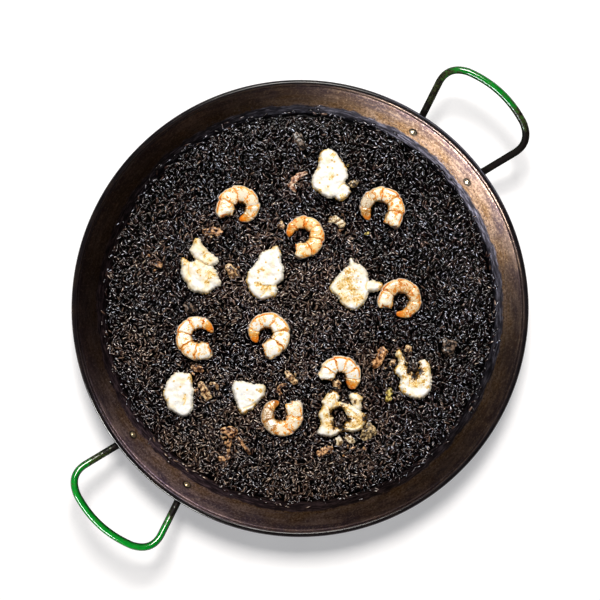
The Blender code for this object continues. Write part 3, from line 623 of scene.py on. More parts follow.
def ink_film(tree, place, axes, smeared):
    """Where dried ink covers the steel, with a ragged upper edge and a few spots splashed over it, and the
    ink's colour, which is browner and darker towards the pan's -X side."""
    ragged = node(tree, "TexNoise", {"Vector": place, "Scale": every(14), "Detail": 8, "Roughness": 0.6})
    ragged = ragged.outputs["Fac"]
    edge = node(tree, "MapRange", {0: ragged, 1: 0.3, 2: 0.7, 3: 19 * MM, 4: 23.5 * MM}).outputs[0]
    above = node(tree, "Math", {0: axes["Z"], 1: edge}, operation="SUBTRACT").outputs[0]
    film = node(tree, "MapRange", {0: above, 1: -0.8 * MM, 2: 0.8 * MM, 3: 1, 4: 0}).outputs[0]
    cells = node(tree, "TexVoronoi", {"Vector": place, "Scale": every(4.5)}).outputs["Distance"]
    spot = node(tree, "MapRange", {0: cells, 1: 0.12, 2: 0.2, 3: 1, 4: 0}).outputs[0]
    near_film = node(tree, "MapRange", {0: above, 1: 3 * MM, 2: 9 * MM, 3: 1, 4: 0}).outputs[0]
    splashes = node(tree, "Math", {0: spot, 1: near_film}, operation="MULTIPLY").outputs[0]
    inked = node(tree, "Math", {0: film, 1: splashes}, operation="MAXIMUM").outputs[0]
    grey = node(tree, "TexNoise", {"Vector": smeared, "Scale": every(2), "Detail": 6, "Roughness": 0.65})
    colour = node(tree, "ValToRGB", {0: grey.outputs["Fac"]},
                  stops=[(0.36, "131216"), (0.64, "66636f"), (0.5, "312f37")]).outputs[0]
    browner = node(tree, "MapRange", {0: axes["X"], 1: 120 * MM, 2: -80 * MM}).outputs[0]
    colour = node(tree, "Mix", {0: browner, 6: colour, 7: linear("e0bea6")},
                  data_type="RGBA", blend_type="MULTIPLY").outputs[2]
    return inked, colour


def grease_round_rivets(tree, place):
    """Where burnt grease is ringed round the four rivets."""
    grease = 0
    for turn in (0, math.pi):
        for side in (1, -1):
            head = Matrix.Rotation(turn, 3, "Z") @ rivet_axis(side)[0]
            gap = node(tree, "VectorMath", {0: place, 1: head}, operation="DISTANCE").outputs["Value"]
            ring = node(tree, "MapRange", {0: gap, 1: 4.2 * MM, 2: 5.6 * MM, 3: 0.85, 4: 0}).outputs[0]
            grease = node(tree, "Math", {0: ring, 1: grease}, operation="MAXIMUM").outputs[0]
    return grease


def seasoned_carbon_steel():
    """Pressed carbon steel, seasoned by oil and flame: a bronze sheen with brown speckles and fine turned
    lines inside, a dull film of ink above the rice, soot outside, painted shade in the rim's groove, and
    one side of the wall painted darker as painted shade."""
    made, tree, shader = new_material("seasoned_carbon_steel")
    place = node(tree, "TexCoord").outputs["Object"]
    axes = node(tree, "SeparateXYZ", {0: place}).outputs
    reach, soot = (node(tree, "Attribute", attribute_name=name).outputs["Fac"] for name in ("reach", "soot"))

    # Turned lines: close together up the wall, and long round it.
    along_wall = node(tree, "CombineXYZ", {0: reach, 1: axes["X"], 2: axes["Y"]}).outputs[0]
    stretched, smeared = (
        node(tree, "VectorMath", {0: along_wall, 1: (1, slow, slow)}, operation="MULTIPLY").outputs[0]
        for slow in (0.02, 0.2)
    )
    lines = node(tree, "TexNoise", {"Vector": stretched, "Scale": every(0.9), "Detail": 3}).outputs["Fac"]

    blotches = node(tree, "TexNoise", {"Vector": place, "Scale": every(22), "Detail": 4}).outputs["Fac"]
    speckle = node(tree, "TexNoise", {"Vector": place, "Scale": every(2.4), "Detail": 6, "Roughness": 0.7})
    speckle = speckle.outputs["Fac"]

    # Up the wall the sheen goes from gold over the film to a greyer, paler metal under the rim.
    up_wall = node(tree, "MapRange", {0: axes["Z"], 1: 20 * MM, 2: 40 * MM}).outputs[0]
    wobbled = node(tree, "MapRange", {0: blotches, 1: 0.3, 2: 0.7, 3: -0.35, 4: 0.35}).outputs[0]
    paler = node(tree, "Math", {0: up_wall, 1: wobbled}, operation="ADD", use_clamp=True).outputs[0]
    sheen = shade_painted_by_side(tree, place, paler, bronze_sheen(tree, paler, lines, smeared, speckle))
    inked, ink = ink_film(tree, place, axes, smeared)
    filmed = node(tree, "Mix", {0: inked, 6: sheen, 7: ink}, data_type="RGBA").outputs[2]
    grease = grease_round_rivets(tree, place)
    greased = node(tree, "Mix", {0: grease, 6: filmed, 7: linear("0c0807")}, data_type="RGBA").outputs[2]

    # Soot and burnt oil outside, browner and bluer in patches.
    burnt = node(tree, "ValToRGB", {0: blotches},
                 stops=[(0.3, "070505"), (0.7, "191310"), (0.5, "0e0b0d")]).outputs[0]
    colour = node(tree, "Mix", {0: soot, 6: greased, 7: burnt}, data_type="RGBA").outputs[2]

    bare = node(tree, "MapRange", {0: soot, 3: 1, 4: 0}).outputs[0]
    matt = node(tree, "MapRange", {0: soot, 3: 0.5, 4: 0.2}).outputs[0]
    worn = node(tree, "MapRange", {0: speckle, 1: 0.35, 2: 0.65, 3: 0.34, 4: 0.44}).outputs[0]
    dulled = node(tree, "Math", {0: inked, 1: 0.08, 2: worn}, operation="MULTIPLY_ADD").outputs[0]
    roughness = node(tree, "Math", {0: soot, 1: -0.2, 2: dulled}, operation="MULTIPLY_ADD").outputs[0]
    relief = node(tree, "Mix", {0: 0.5, 2: lines, 3: speckle}).outputs[0]
    bump = node(tree, "Bump", {"Strength": 0.35, "Distance": 0.25 * MM, "Height": relief}).outputs[0]
    feed(tree, shader, {"Base Color": colour, "Metallic": bare, "Specular IOR Level": matt,
                        "Roughness": roughness, "Normal": bump})
    return made


# Handles and rivets


def rivet_axis(side):
    """Where a rivet's axis crosses the wall's inner face, and the wall's outward normal there."""
    bearing = side * RIVET_BEARING
    radius = wall_radius(RIVET_HEIGHT)
    lean = math.sin(WALL_SLOPE)
    point = Vector((radius * math.cos(bearing), radius * math.sin(bearing), RIVET_HEIGHT))
    return point, Vector((lean * math.cos(bearing), lean * math.sin(bearing), -math.cos(WALL_SLOPE)))


def bent(start, corner, end, steps):
    """Points of a smooth bend from start to end that leans into the corner."""
    return [
        start.lerp(corner, i / steps).lerp(corner.lerp(end, i / steps), i / steps) for i in range(steps + 1)
    ]


def half_handle_path():
    """The rod's centreline from a tab's lower end to the grip's middle, as rows of x, y, z, flat, wide."""
    on_wall, normal = rivet_axis(1)
    on_tab = on_wall + normal * (SHEET + TAB_GAP + TAB_HALF_THICKNESS)
    up_wall = (Vector((0, 0, 1)) - normal * normal.z).normalized()
    bend = on_tab + up_wall * TAB_ABOVE_RIVET

    def grip(across):
        outward = HANDLE_REACH - across**2 / (2 * GRIP_BOW_RADIUS)
        return Vector((outward, across, bend.z + (outward - bend.x) * math.tan(HANDLE_RISE)))

    corner = grip(CORNER_HALF_WIDTH)
    leg = (corner - bend).normalized()
    low_end = [(0, 0.4), (0.8, 0.75), (2.5, 1)]
    path = [(on_tab - up_wall * (TAB_BELOW_RIVET - d * MM), 1, wide) for d, wide in low_end]
    path += [(on_tab, 1, 1)]
    tab_bend = bent(bend - up_wall * 2 * MM, bend, bend + leg * 3 * MM, 3)
    path += [(point, flat, 1) for point, flat in zip(tab_bend, (1, 0.9, 0.75, 0.55))]
    path += [(bend + leg * d * MM, flat, 1) for d, flat in ((6, 0.3), (10, 0.1), (15, 0), (25, 0), (32, 0))]
    round_end = grip(CORNER_HALF_WIDTH - CORNER_ROUNDING)
    path += [(p, 0, 1) for p in bent(corner - leg * CORNER_ROUNDING, corner, round_end, 10)]
    path += [(grip(round_end.y * share), 0, 1) for share in (0.83, 0.66, 0.5, 0.33, 0.16, 0)]
    return np.array([(*point, flat, wide) for point, flat, wide in path])


def rod_section(point, along, flat, wide):
    """A ring round the rod's centreline: a flattened oval on the tab, a circle elsewhere."""
    blade = -rivet_axis(1 if point.y > 0 else -1)[1]
    upward = blade.lerp(Vector((0, 0, 1)), float(eased(1 - flat)))
    upward = (upward - along * upward.dot(along)).normalized()
    across = along.cross(upward)
    half_thick = ROD_RADIUS + (TAB_HALF_THICKNESS - ROD_RADIUS) * flat
    half_width = (ROD_RADIUS + (TAB_HALF_WIDTH - ROD_RADIUS) * flat) * wide
    roundness = 1 - 0.55 * flat
    ring = []
    for i in range(ROD_SIDES):
        a = 2 * math.pi * (i + 0.5) / ROD_SIDES
        x = math.copysign(abs(math.cos(a)) ** roundness, math.cos(a))
        y = math.copysign(abs(math.sin(a)) ** roundness, math.sin(a))
        ring.append(point + across * half_width * x + upward * half_thick * y)
    return ring


def make_handle(word, turn, smoked, enamel):
    """smoked gives, for the leg on the handle's left and on its right, how far along the rod from its
    tab the black of the flame starts to fade and how far it reaches, in millimetres."""
    half = half_handle_path()
    mirrored = half[::-1][1:] * [1, -1, 1, 1, 1]
    path = smooth_path(np.vstack([half, mirrored]), 3)
    along_rod = distance_along(path[:, :3])
    spin = Matrix.Rotation(turn, 3, "Z")
    rings, soot = [], []
    for i, (x, y, z, flat, wide) in enumerate(path):
        ahead, behind = path[min(i + 1, len(path) - 1)], path[max(i - 1, 0)]
        along = Vector(ahead[:3] - behind[:3]).normalized()
        ring = rod_section(Vector((x, y, z)), along, float(np.clip(flat, 0, 1)), wide)
        rings.append([spin @ point for point in ring])
        from_tab = min(along_rod[i], along_rod[-1] - along_rod[i])
        start, end = smoked[0 if along_rod[i] < along_rod[-1] / 2 else 1]
        soot += [1 - float(eased((from_tab / MM - start) / (end - start)))] * ROD_SIDES
    points, faces = loft(rings)
    make_piece(f"handle_rod_{word}", points, faces, enamel, "enamelled_steel", [f"handle_{word}"],
               on_plan=False, soot=soot + [1, 1])


def green_vitreous_enamel():
    """Vitreous enamel fired on a steel rod: deep glossy green glass, smoked black and brown by the flame
    where the rod nears the pan, with a few scorched specks, and its sides painted dark as painted shade."""
    made, tree, shader = new_material("green_vitreous_enamel")
    place = node(tree, "TexCoord").outputs["Object"]
    soot = node(tree, "Attribute", attribute_name="soot").outputs["Fac"]
    clouds = node(tree, "TexNoise", {"Vector": place, "Scale": every(7), "Detail": 5}).outputs["Fac"]
    specks = node(tree, "TexNoise", {"Vector": place, "Scale": every(1.6), "Detail": 3}).outputs["Fac"]
    green = node(tree, "ValToRGB", {0: clouds}, stops=[(0.3, "005a12"), (0.7, "007a1c")]).outputs[0]

    # Smoke spreads from the pan with a ragged edge, through brown, and leaves specks beyond it.
    ragged = node(tree, "MapRange", {0: clouds, 1: 0.3, 2: 0.7, 3: -0.3, 4: 0.3}).outputs[0]
    spread = node(tree, "Math", {0: soot, 1: ragged}, operation="ADD").outputs[0]
    grain = node(tree, "MapRange", {0: specks, 1: 0.4, 2: 0.7, 3: -0.15, 4: 0.25}).outputs[0]
    smoke = node(tree, "Math", {0: spread, 1: grain}, operation="ADD").outputs[0]
    dark = node(tree, "MapRange", {0: smoke, 1: 0.25, 2: 0.75}).outputs[0]
    char = node(tree, "ValToRGB", {0: dark},
                stops=[(0.0, "1a5c1e"), (1.0, "0e0a09"), (0.45, "2a3012")]).outputs[0]
    any_smoke = node(tree, "MapRange", {0: smoke, 1: 0.12, 2: 0.35}).outputs[0]
    smoked = node(tree, "Mix", {0: any_smoke, 6: green, 7: char}, data_type="RGBA").outputs[2]
    lone = node(tree, "MapRange", {0: specks, 1: 0.68, 2: 0.74, 3: 0, 4: 0.8}).outputs[0]
    scorched = node(tree, "Mix", {0: lone, 6: smoked, 7: linear("4a2c18")}, data_type="RGBA").outputs[2]

    # Its sides and underside are dull, and painted dark as painted shade along the rod's edges.
    upward = node(tree, "SeparateXYZ", {0: node(tree, "NewGeometry").outputs["Normal"]}).outputs["Z"]
    painted_limb_shade = node(tree, "MapRange", {0: upward, 1: 0.84, 2: 0.4, 3: 0, 4: 0.95}).outputs[0]
    colour = node(tree, "Mix", {0: painted_limb_shade, 6: scorched, 7: linear("051006")}, data_type="RGBA").outputs[2]
    dull = node(tree, "Math", {0: dark, 1: painted_limb_shade}, operation="MAXIMUM").outputs[0]
    roughness = node(tree, "MapRange", {0: dull, 3: 0.12, 4: 0.5}).outputs[0]
    shine = node(tree, "MapRange", {0: dark, 3: 0.5, 4: 0.07}).outputs[0]
    facing = node(tree, "MapRange", {0: painted_limb_shade, 1: 0.3, 2: 0.8, 3: 1, 4: 0}).outputs[0]
    shine = node(tree, "Math", {0: shine, 1: facing}, operation="MULTIPLY").outputs[0]
    glaze = node(tree, "MapRange", {0: dull, 3: 0.4, 4: 0}).outputs[0]
    bump = node(tree, "Bump", {"Strength": 0.15, "Distance": 0.2 * MM, "Height": clouds}).outputs[0]
    feed(tree, shader, {"Base Color": colour, "Roughness": roughness, "Specular IOR Level": shine,
                        "Coat Weight": glaze, "Coat Roughness": 0.06, "Normal": bump})
    return made


def make_rivet(word, number, side, turn, steel):
    """A rivet through wall and tab: a worn dome on a flat collar inside the pan, and another outside."""
    on_wall, normal = rivet_axis(side)
    outer_face = SHEET + 2 * TAB_GAP + 2 * TAB_HALF_THICKNESS
    head = []
    for degrees in (88, 70, 52, 34, 16, 0):
        a = math.radians(degrees)
        out, up = 0.66 * math.cos(a), 0.3 + 0.7 * math.sin(a)
        head.append((out * RIVET_HEAD_RADIUS, up * RIVET_HEAD_HEIGHT, 0))
    collar = [(0.74, 0.2, 0.85), (0.92, 0.17, 1), (1, 0.05, 1)]
    head += [(out * RIVET_HEAD_RADIUS, up * RIVET_HEAD_HEIGHT, grime) for out, up, grime in collar]
    section = [(radius, -TAB_GAP - rise, grime) for radius, rise, grime in head]
    section += [(0.6 * RIVET_HEAD_RADIUS, -TAB_GAP, 1), (0.6 * RIVET_HEAD_RADIUS, outer_face, 1)]
    section += [(radius, outer_face + rise, 1) for radius, rise, _ in reversed(head)]
    spin = Matrix.Rotation(turn, 4, "Z") @ Matrix.Translation(on_wall)
    spin = spin @ Vector((0, 0, 1)).rotation_difference(normal).to_matrix().to_4x4()
    bearings = np.linspace(0, 2 * math.pi, RIVET_SIDES, endpoint=False)
    rings = [[spin @ Vector((r * math.cos(b), r * math.sin(b), h)) for b in bearings] for r, h, _ in section]
    points, faces = loft(rings)
    grime = np.repeat([g for _, _, g in section], RIVET_SIDES).tolist() + [0, 1]
    make_piece(f"rivet_head_{word}_{number}", points, faces, steel, "rivet_steel",
               [f"rivet_{word}_{number}"], on_plan=False, grime=grime)


def peened_steel():
    """A steel rivet closed by hammering and polished by years of scouring: bright on the dome, with
    burnt grease caught round it."""
    made, tree, shader = new_material("peened_steel")
    place = node(tree, "TexCoord").outputs["Object"]
    grime = node(tree, "Attribute", attribute_name="grime").outputs["Fac"]
    marks = node(tree, "TexNoise", {"Vector": place, "Scale": every(1.1), "Detail": 4}).outputs["Fac"]
    steel = node(tree, "ValToRGB", {0: marks}, stops=[(0.3, "c4a878"), (0.7, "fbebc8")]).outputs[0]
    colour = node(tree, "Mix", {0: grime, 6: steel, 7: linear("080606")}, data_type="RGBA").outputs[2]
    metal = node(tree, "MapRange", {0: grime, 3: 1, 4: 0}).outputs[0]
    crusted = node(tree, "MapRange", {0: grime, 3: 0.3, 4: 0.7}).outputs[0]
    matt = node(tree, "MapRange", {0: grime, 3: 0.5, 4: 0.1}).outputs[0]
    bump = node(tree, "Bump", {"Strength": 0.2, "Distance": 0.2 * MM, "Height": marks}).outputs[0]
    feed(tree, shader, {"Base Color": colour, "Metallic": metal, "Roughness": crusted,
                        "Specular IOR Level": matt, "Normal": bump})
    return made


def make_handles():
    """Both handles, and the two rivets that hold each."""
    enamel = green_vitreous_enamel()
    make_handle("right", 0.0, ((20, 125), (72, 150)), enamel)
    make_handle("left", math.pi, ((22, 70), (24, 80)), enamel)
    steel = peened_steel()
    for word, turn in (("right", 0.0), ("left", math.pi)):
        for number, side in ((1, 1), (2, -1)):
            make_rivet(word, number, side, turn, steel)


# Rice


def bed_height(radius):
    """Height of the bed's surface, level but for its edge."""
    fall = eased((radius - BED_EDGE_RADIUS + BED_EDGE_BAND) / BED_EDGE_BAND)
    return BED_TOP + (BED_EDGE_HEIGHT - BED_TOP) * fall


def make_rice_core(ink_rice):
    """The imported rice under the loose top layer, from the pan's floor to just under the grains."""
    bearings = np.linspace(0, 2 * math.pi, CORE_SIDES, endpoint=False)
    section = [fillet_point(math.radians(d), -0.6 * MM) for d in (-88, -74, -60, -50, -44)]
    section += [(r * MM, bed_height(r * MM) - CORE_DEPTH) for r in list(range(196, 0, -5)) + [0.5]]
    rings = []
    for radius, height in section:
        ring = []
        for bearing in bearings:
            x, y = radius * math.cos(bearing), radius * math.sin(bearing)
            lumps = 0.5 * MM * wave((x, y, 0), 9 * MM) if height > 6 * MM else 0
            ring.append((x, y, height + lumps))
        rings.append(ring)
    points, faces = loft(rings)
    count = len(points)
    # Its rise of -3 paints the whole core near black, as painted shade in the gaps between grains.
    make_piece("rice_bed", points, faces, ink_rice, "ink_rice", ["rice"], on_plan=False,
               tone=np.zeros(count), husk=np.zeros(count), rise=np.full(count, -3.0))


def grain_shape():
    """A cooked grain of unit length and width, lying along X, with its faces."""
    stations = (-0.82, -0.3, 0.35, 0.88)
    points = [(-0.5, 0, 0)]
    for t in stations:
        radius = 0.5 * (1 - abs(t) ** 2.6) ** 0.5
        for k in range(GRAIN_SIDES):
            a = 2 * math.pi * k / GRAIN_SIDES
            points.append((0.5 * t, radius * math.cos(a), radius * math.sin(a)))
    points.append((0.5, 0, 0))
    faces = []
    for k in range(GRAIN_SIDES):
        j = (k + 1) % GRAIN_SIDES
        faces.append((0, 1 + j, 1 + k))
        for ring in range(len(stations) - 1):
            low, high = 1 + ring * GRAIN_SIDES, 1 + (ring + 1) * GRAIN_SIDES
            faces += [(low + k, low + j, high + j), (low + k, high + j, high + k)]
        last = 1 + (len(stations) - 1) * GRAIN_SIDES
        faces.append((len(points) - 1, last + k, last + j))
    return np.array(points), np.array(faces)


def footprints():
    """What keeps grains away: a flake's outline, or a line with the half width of what lies along it."""
    found = []
    for prawn in PRAWNS:
        centre = np.array(prawn["centre"]) * MM
        line = []
        for t in np.linspace(0.1, 0.94, 40):
            bearing, radius = prawn_middle(prawn, t)
            line.append(centre + radius * np.array([math.cos(bearing), math.sin(bearing)]))
        line = np.array(line)
        for part, t in ((line[:14], 0.15), (line[13:27], 0.5), (line[26:], 0.85)):
            found.append((part, prawn_half_width(prawn, t) + 0.3 * MM))
    for fish in FISH:
        found.append((smooth_path(fish["outline"], 6, closed=True) * MM, None))
    ring = smooth_path(FISH_RING["outline"], 6, closed=True) * MM
    hole = smooth_path(FISH_RING["hole"], 6, closed=True) * MM
    found.append((np.vstack([ring, ring[:1], hole, hole[:1]]), None))
    for strip in SQUID_STRIPS + BABY_SQUID:
        line = smooth_path(strip["path"], 6) * MM
        found.append((line, strip["width"] / 2 * 0.6 * MM))
    return found


def grain_places(toppings, draw):
    """Plan places of the loose grains: a jittered close lattice, clear of what lies under toppings."""
    row_step = GRAIN_PITCH * math.sqrt(3) / 2
    rows = int(BED_EDGE_RADIUS / row_step) + 1
    row, column = np.meshgrid(np.arange(-rows, rows + 1), np.arange(-rows, rows + 1), indexing="ij")
    places = np.column_stack([((column + 0.5 * (row % 2)) * GRAIN_PITCH).ravel(), (row * row_step).ravel()])
    extra = draw.uniform(-BED_EDGE_RADIUS, BED_EDGE_RADIUS, (GRAINS_ON_TOP, 2))
    places = np.vstack([places + draw.uniform(-0.45, 0.45, places.shape) * GRAIN_PITCH, extra])
    on_top = np.arange(len(places)) >= len(places) - len(extra)
    ragged_edge = BED_EDGE_RADIUS + 1.5 * MM * np.sin(places @ [310.0, 170.0]) - 1 * MM
    keep = np.linalg.norm(places, axis=1) < ragged_edge
    for outline, reach in toppings:
        if reach is None:
            keep &= ~inside_outline(places, outline)
        else:
            keep &= distance_to_line(places, outline) > reach
    return places[keep], on_top[keep]


def turned_grains(shape, bend, sizes, yaw, pitch):
    """The points of each grain: the shape bent in plan, brought to size, then pitched and turned."""
    count = len(bend)
    body = np.repeat(shape[None], count, axis=0)
    body[:, :, 1] += bend[:, None] * body[:, :, 0] ** 2
    body *= sizes[:, None, :]
    cy, sy, cp, sp = np.cos(yaw), np.sin(yaw), np.cos(pitch), np.sin(pitch)
    turn = np.zeros((count, 3, 3))
    turn[:, 0] = np.stack([cy * cp, -sy, cy * sp], axis=1)
    turn[:, 1] = np.stack([sy * cp, cy, sy * sp], axis=1)
    turn[:, 2] = np.stack([-sp, np.zeros(count), cp], axis=1)
    return np.einsum("nij,npj->npi", turn, body)


def make_grain_piece(number, body, faces, tone, husk, rise, ink_rice):
    """One share of the grains, joined in one mesh that is built straight from arrays."""
    name = f"rice_grains_{number}"
    data = bpy.data.meshes.new(name)
    count, per_grain = body.shape[:2]
    corners = (faces[None] + (np.arange(count) * per_grain)[:, None, None]).reshape(-1)
    data.vertices.add(count * per_grain)
    data.vertices.foreach_set("co", body.astype(np.float32).ravel())
    data.loops.add(len(corners))
    data.loops.foreach_set("vertex_index", corners.astype(np.int32))
    data.polygons.add(len(corners) // 3)
    data.polygons.foreach_set("loop_start", np.arange(0, len(corners), 3, dtype=np.int32))
    data.update(calc_edges=True)
    store_values(data, dict(tone=np.repeat(tone, per_grain), husk=np.repeat(husk, per_grain), rise=rise))
    place_piece(name, data, ink_rice, ["rice"])


def make_grains(toppings, ink_rice):
    """Thousands of loose grains on the bed, and a few stranded on the wall above it."""
    draw = np.random.default_rng(21)
    places, on_top = grain_places(toppings, draw)
    stranded = draw.uniform(0, 2 * math.pi, STRANDED_GRAINS)
    drift = BED_EDGE_RADIUS + np.abs(draw.normal(0, 2.6 * MM, STRANDED_GRAINS))
    places = np.vstack([places, np.column_stack([np.cos(stranded), np.sin(stranded)]) * drift[:, None]])
    on_top = np.concatenate([on_top, np.zeros(STRANDED_GRAINS, bool)])
    count = len(places)
    radius = np.linalg.norm(places, axis=1)

    lift = np.where(on_top, draw.uniform(0.2, 1.5, count), draw.uniform(-1.3, 0.35, count)) * MM
    swell = np.array([0.7 * MM * wave((x, y, 0), 24 * MM) for x, y in places])
    on_wall = radius > BED_EDGE_RADIUS
    height = bed_height(radius) + lift + swell
    # A stranded grain lies on the fillet, which climbs as a circle from the bed's edge.
    centre_radius, centre_height = fillet_point(0)[0] - FILLET_RADIUS, fillet_point(0)[1]
    out = np.clip(radius - centre_radius, 0, 0.97 * FILLET_RADIUS)
    fillet_height = centre_height - np.sqrt(FILLET_RADIUS**2 - out**2)
    height = np.where(on_wall, fillet_height + STRANDED_LIFT, height)

    length = GRAIN_LENGTH * draw.normal(1, 0.13, count).clip(0.7, 1.35)
    width = GRAIN_WIDTH * draw.normal(1, 0.11, count).clip(0.72, 1.25)
    # Neighbours lie side by side in small drifts.
    drifts = np.array([wave((x, y, 0), 15 * MM, 4) for x, y in places])
    yaw = 7 * drifts + draw.normal(0, 0.55, count)
    pitch = np.radians(np.where(on_top, draw.normal(0, 11, count), draw.normal(0, 10, count)).clip(-36, 36))
    # Stranded grains lie round the wall.
    round_wall = np.arctan2(places[:, 1], places[:, 0]) + math.pi / 2
    yaw = np.where(on_wall, round_wall + draw.normal(0, 0.5, count), yaw)
    pitch = np.where(on_wall, 0, pitch)

    shape, faces = grain_shape()
    bend = draw.uniform(-0.15, 0.45, count)
    body = turned_grains(shape, bend, np.stack([length, width, 0.86 * width], axis=1), yaw, pitch)
    body = body + np.column_stack([places, height])[:, None, :]
    blacker = nearness(places, BLACKER_RICE)
    tone = draw.beta(1.3, 3.2, count) + 0.4 * nearness(places, BROWNER_RICE) - 0.1 * blacker
    # husk picks which grains carry the painted highlight; near the listed places more of them carry it.
    husk = draw.uniform(0, 1, count) + 0.38 * nearness(places, MORE_PAINTED_HIGHLIGHT_RICE) - 0.04 * blacker
    level = np.where(on_wall, height - STRANDED_LIFT, bed_height(radius) + swell)
    rise = (body[:, :, 2] - level[:, None]) / MM

    for number, share in enumerate(np.array_split(np.argsort(places[:, 0]), GRAIN_PIECES), 1):
        make_grain_piece(number, body[share], faces, tone[share], husk[share], rise[share], ink_rice)


def squid_ink_rice():
    """Round-grain rice cooked in stock and squid ink: near-black skins with a wet shine, some browner and
    paler where the ink is thin, a painted highlight along the tops of many grains, and painted shade that
    turns low grains and the grains' lower sides near black."""
    made, tree, shader = new_material("squid_ink_rice")
    place = node(tree, "TexCoord").outputs["Object"]
    tone, husk, rise = (
        node(tree, "Attribute", attribute_name=name).outputs["Fac"] for name in ("tone", "husk", "rise")
    )
    patches = node(tree, "TexNoise", {"Vector": place, "Scale": every(26), "Detail": 3}).outputs["Fac"]
    mottle = node(tree, "TexNoise", {"Vector": place, "Scale": every(1.3), "Detail": 3}).outputs["Fac"]
    shift = node(tree, "MapRange", {0: patches, 1: 0.35, 2: 0.65, 3: -0.12, 4: 0.14}).outputs[0]
    toned = node(tree, "Math", {0: tone, 1: shift}, operation="ADD", use_clamp=True).outputs[0]
    ink = node(tree, "ValToRGB", {0: toned},
               stops=[(0.0, "060304"), (1.0, "7c6353"), (0.35, "150b0c"), (0.65, "3c2823")]).outputs[0]
    cool = node(tree, "MapRange", {0: husk, 1: 0.6, 2: 0.95, 3: 0, 4: 0.35}).outputs[0]
    cooled = node(tree, "Mix", {0: cool, 6: ink, 7: linear("1a1a22")}, data_type="RGBA").outputs[2]
    shade = node(tree, "MapRange", {0: mottle, 1: 0.3, 2: 0.7, 3: 0.0, 4: 0.45}).outputs[0]
    inky = node(tree, "Mix", {0: shade, 6: cooled, 7: linear("080505")}, data_type="RGBA").outputs[2]

    # Painted highlight: a pale stripe along the tops of the grains whose husk value is high, broken into
    # white glint spots; filmed is this painted highlight's mask and dried the colour with it.
    upward = node(tree, "SeparateXYZ", {0: node(tree, "NewGeometry").outputs["Normal"]}).outputs["Z"]
    ridge = node(tree, "MapRange", {0: upward, 1: 0.93, 2: 0.975}).outputs[0]
    gets_painted_highlight = node(tree, "MapRange", {0: husk, 1: 0.45, 2: 0.85}).outputs[0]
    filmed = node(tree, "Math", {0: ridge, 1: gets_painted_highlight}, operation="MULTIPLY").outputs[0]
    broken = node(tree, "TexNoise", {"Vector": place, "Scale": every(1.9), "Detail": 2}).outputs["Fac"]
    painted_highlight_colour = node(tree, "ValToRGB", {0: broken},
                  stops=[(0.44, "1e1617"), (0.6, "ffffff"), (0.5, "706664"), (0.55, "dcd6d6")]).outputs[0]
    # The painted highlight is cool on black grains and warm where the ink is thin.
    thin_ink = node(tree, "MapRange", {0: toned, 1: 0.2, 2: 0.75}).outputs[0]
    highlight_tint = node(tree, "Mix", {0: thin_ink, 6: linear("e2ebff"), 7: linear("ffe9d2")},
                data_type="RGBA").outputs[2]
    painted_highlight_colour = node(tree, "Mix", {0: 1.0, 6: painted_highlight_colour, 7: highlight_tint},
                  data_type="RGBA", blend_type="MULTIPLY").outputs[2]
    dried = node(tree, "Mix", {0: filmed, 6: inky, 7: painted_highlight_colour}, data_type="RGBA").outputs[2]

    # Painted shade: grains lying low, and the lower sides of every grain, go near black as shade between the
    # grains.
    painted_shade = node(tree, "MapRange", {0: rise, 1: 0.6, 2: -0.55}).outputs[0]
    colour = node(tree, "Mix", {0: painted_shade, 6: dried, 7: linear("010101")}, data_type="RGBA").outputs[2]
    shine = node(tree, "MapRange", {0: painted_shade, 3: 0.5, 4: 0.05}).outputs[0]
    roughness = node(tree, "MapRange", {0: husk, 3: 0.1, 4: 0.2}).outputs[0]
    bump = node(tree, "Bump", {"Strength": 0.1, "Distance": 0.2 * MM, "Height": mottle}).outputs[0]
    feed(tree, shader, {"Base Color": colour, "Specular IOR Level": shine, "Roughness": roughness,
                        "IOR": 1.5, "Normal": bump})
    return made


def make_rice(toppings):
    """The bed and the loose grains on it."""
    ink_rice = squid_ink_rice()
    make_rice_core(ink_rice)
    make_grains(toppings, ink_rice)


# Prawns


def prawn_middle(prawn, t):
    """Bearing and radius, on the curl, of the middle of the body at a share of its length. The head end
    straightens a little."""
    bearing = math.radians(prawn["head"] + prawn["turn"] * t)
    radius = prawn["radius"][0] + (prawn["radius"][1] - prawn["radius"][0]) * t
    return bearing, (radius + 1.6 * max(0.0, 1 - t / 0.14) ** 2) * MM


def prawn_half_width(prawn, t):
    """Half the body's width at a share of its length, before its plates swell it."""
    head_width, tail_width = prawn["width"]
    taper = 1 - 0.25 * max(0.0, (t - 0.84) / 0.16)
    return 0.5 * MM * taper * (head_width - (head_width - tail_width) * min(max(t, 0), 1) ** 2)


def prawn_swell(t):
    """Each plate of flesh overlaps the next: it starts full, narrows, and ends in a step down."""
    if t < 0.06:
        return 1.03 * math.sqrt(1 - 0.6 * (1 - t / 0.06) ** 2)
    if t > 0.985:
        return 0.93 * math.sqrt(max(1.035 - t, 0) / 0.05)
    within = (t * PRAWN_SEGMENTS) % 1
    crease = math.exp(-((within / 0.07) ** 2)) + math.exp(-(((within - 1) / 0.04) ** 2))
    return 1.06 - 0.13 * within - 0.15 * crease


def prawn_vein(number, t, a, around):
    """How much of the vein shows, from 0 to 1. It runs along the body, and some stretches are faint."""
    runs = float(eased((0.86 - t) / 0.1) * eased(t / 0.08))
    vein = math.exp(-(((a - VEIN_ANGLE) / 0.15) ** 2)) * runs
    return vein * min(max(0.6 + 1.5 * wave(around, 12 * MM, number), 0.0), 1.0)


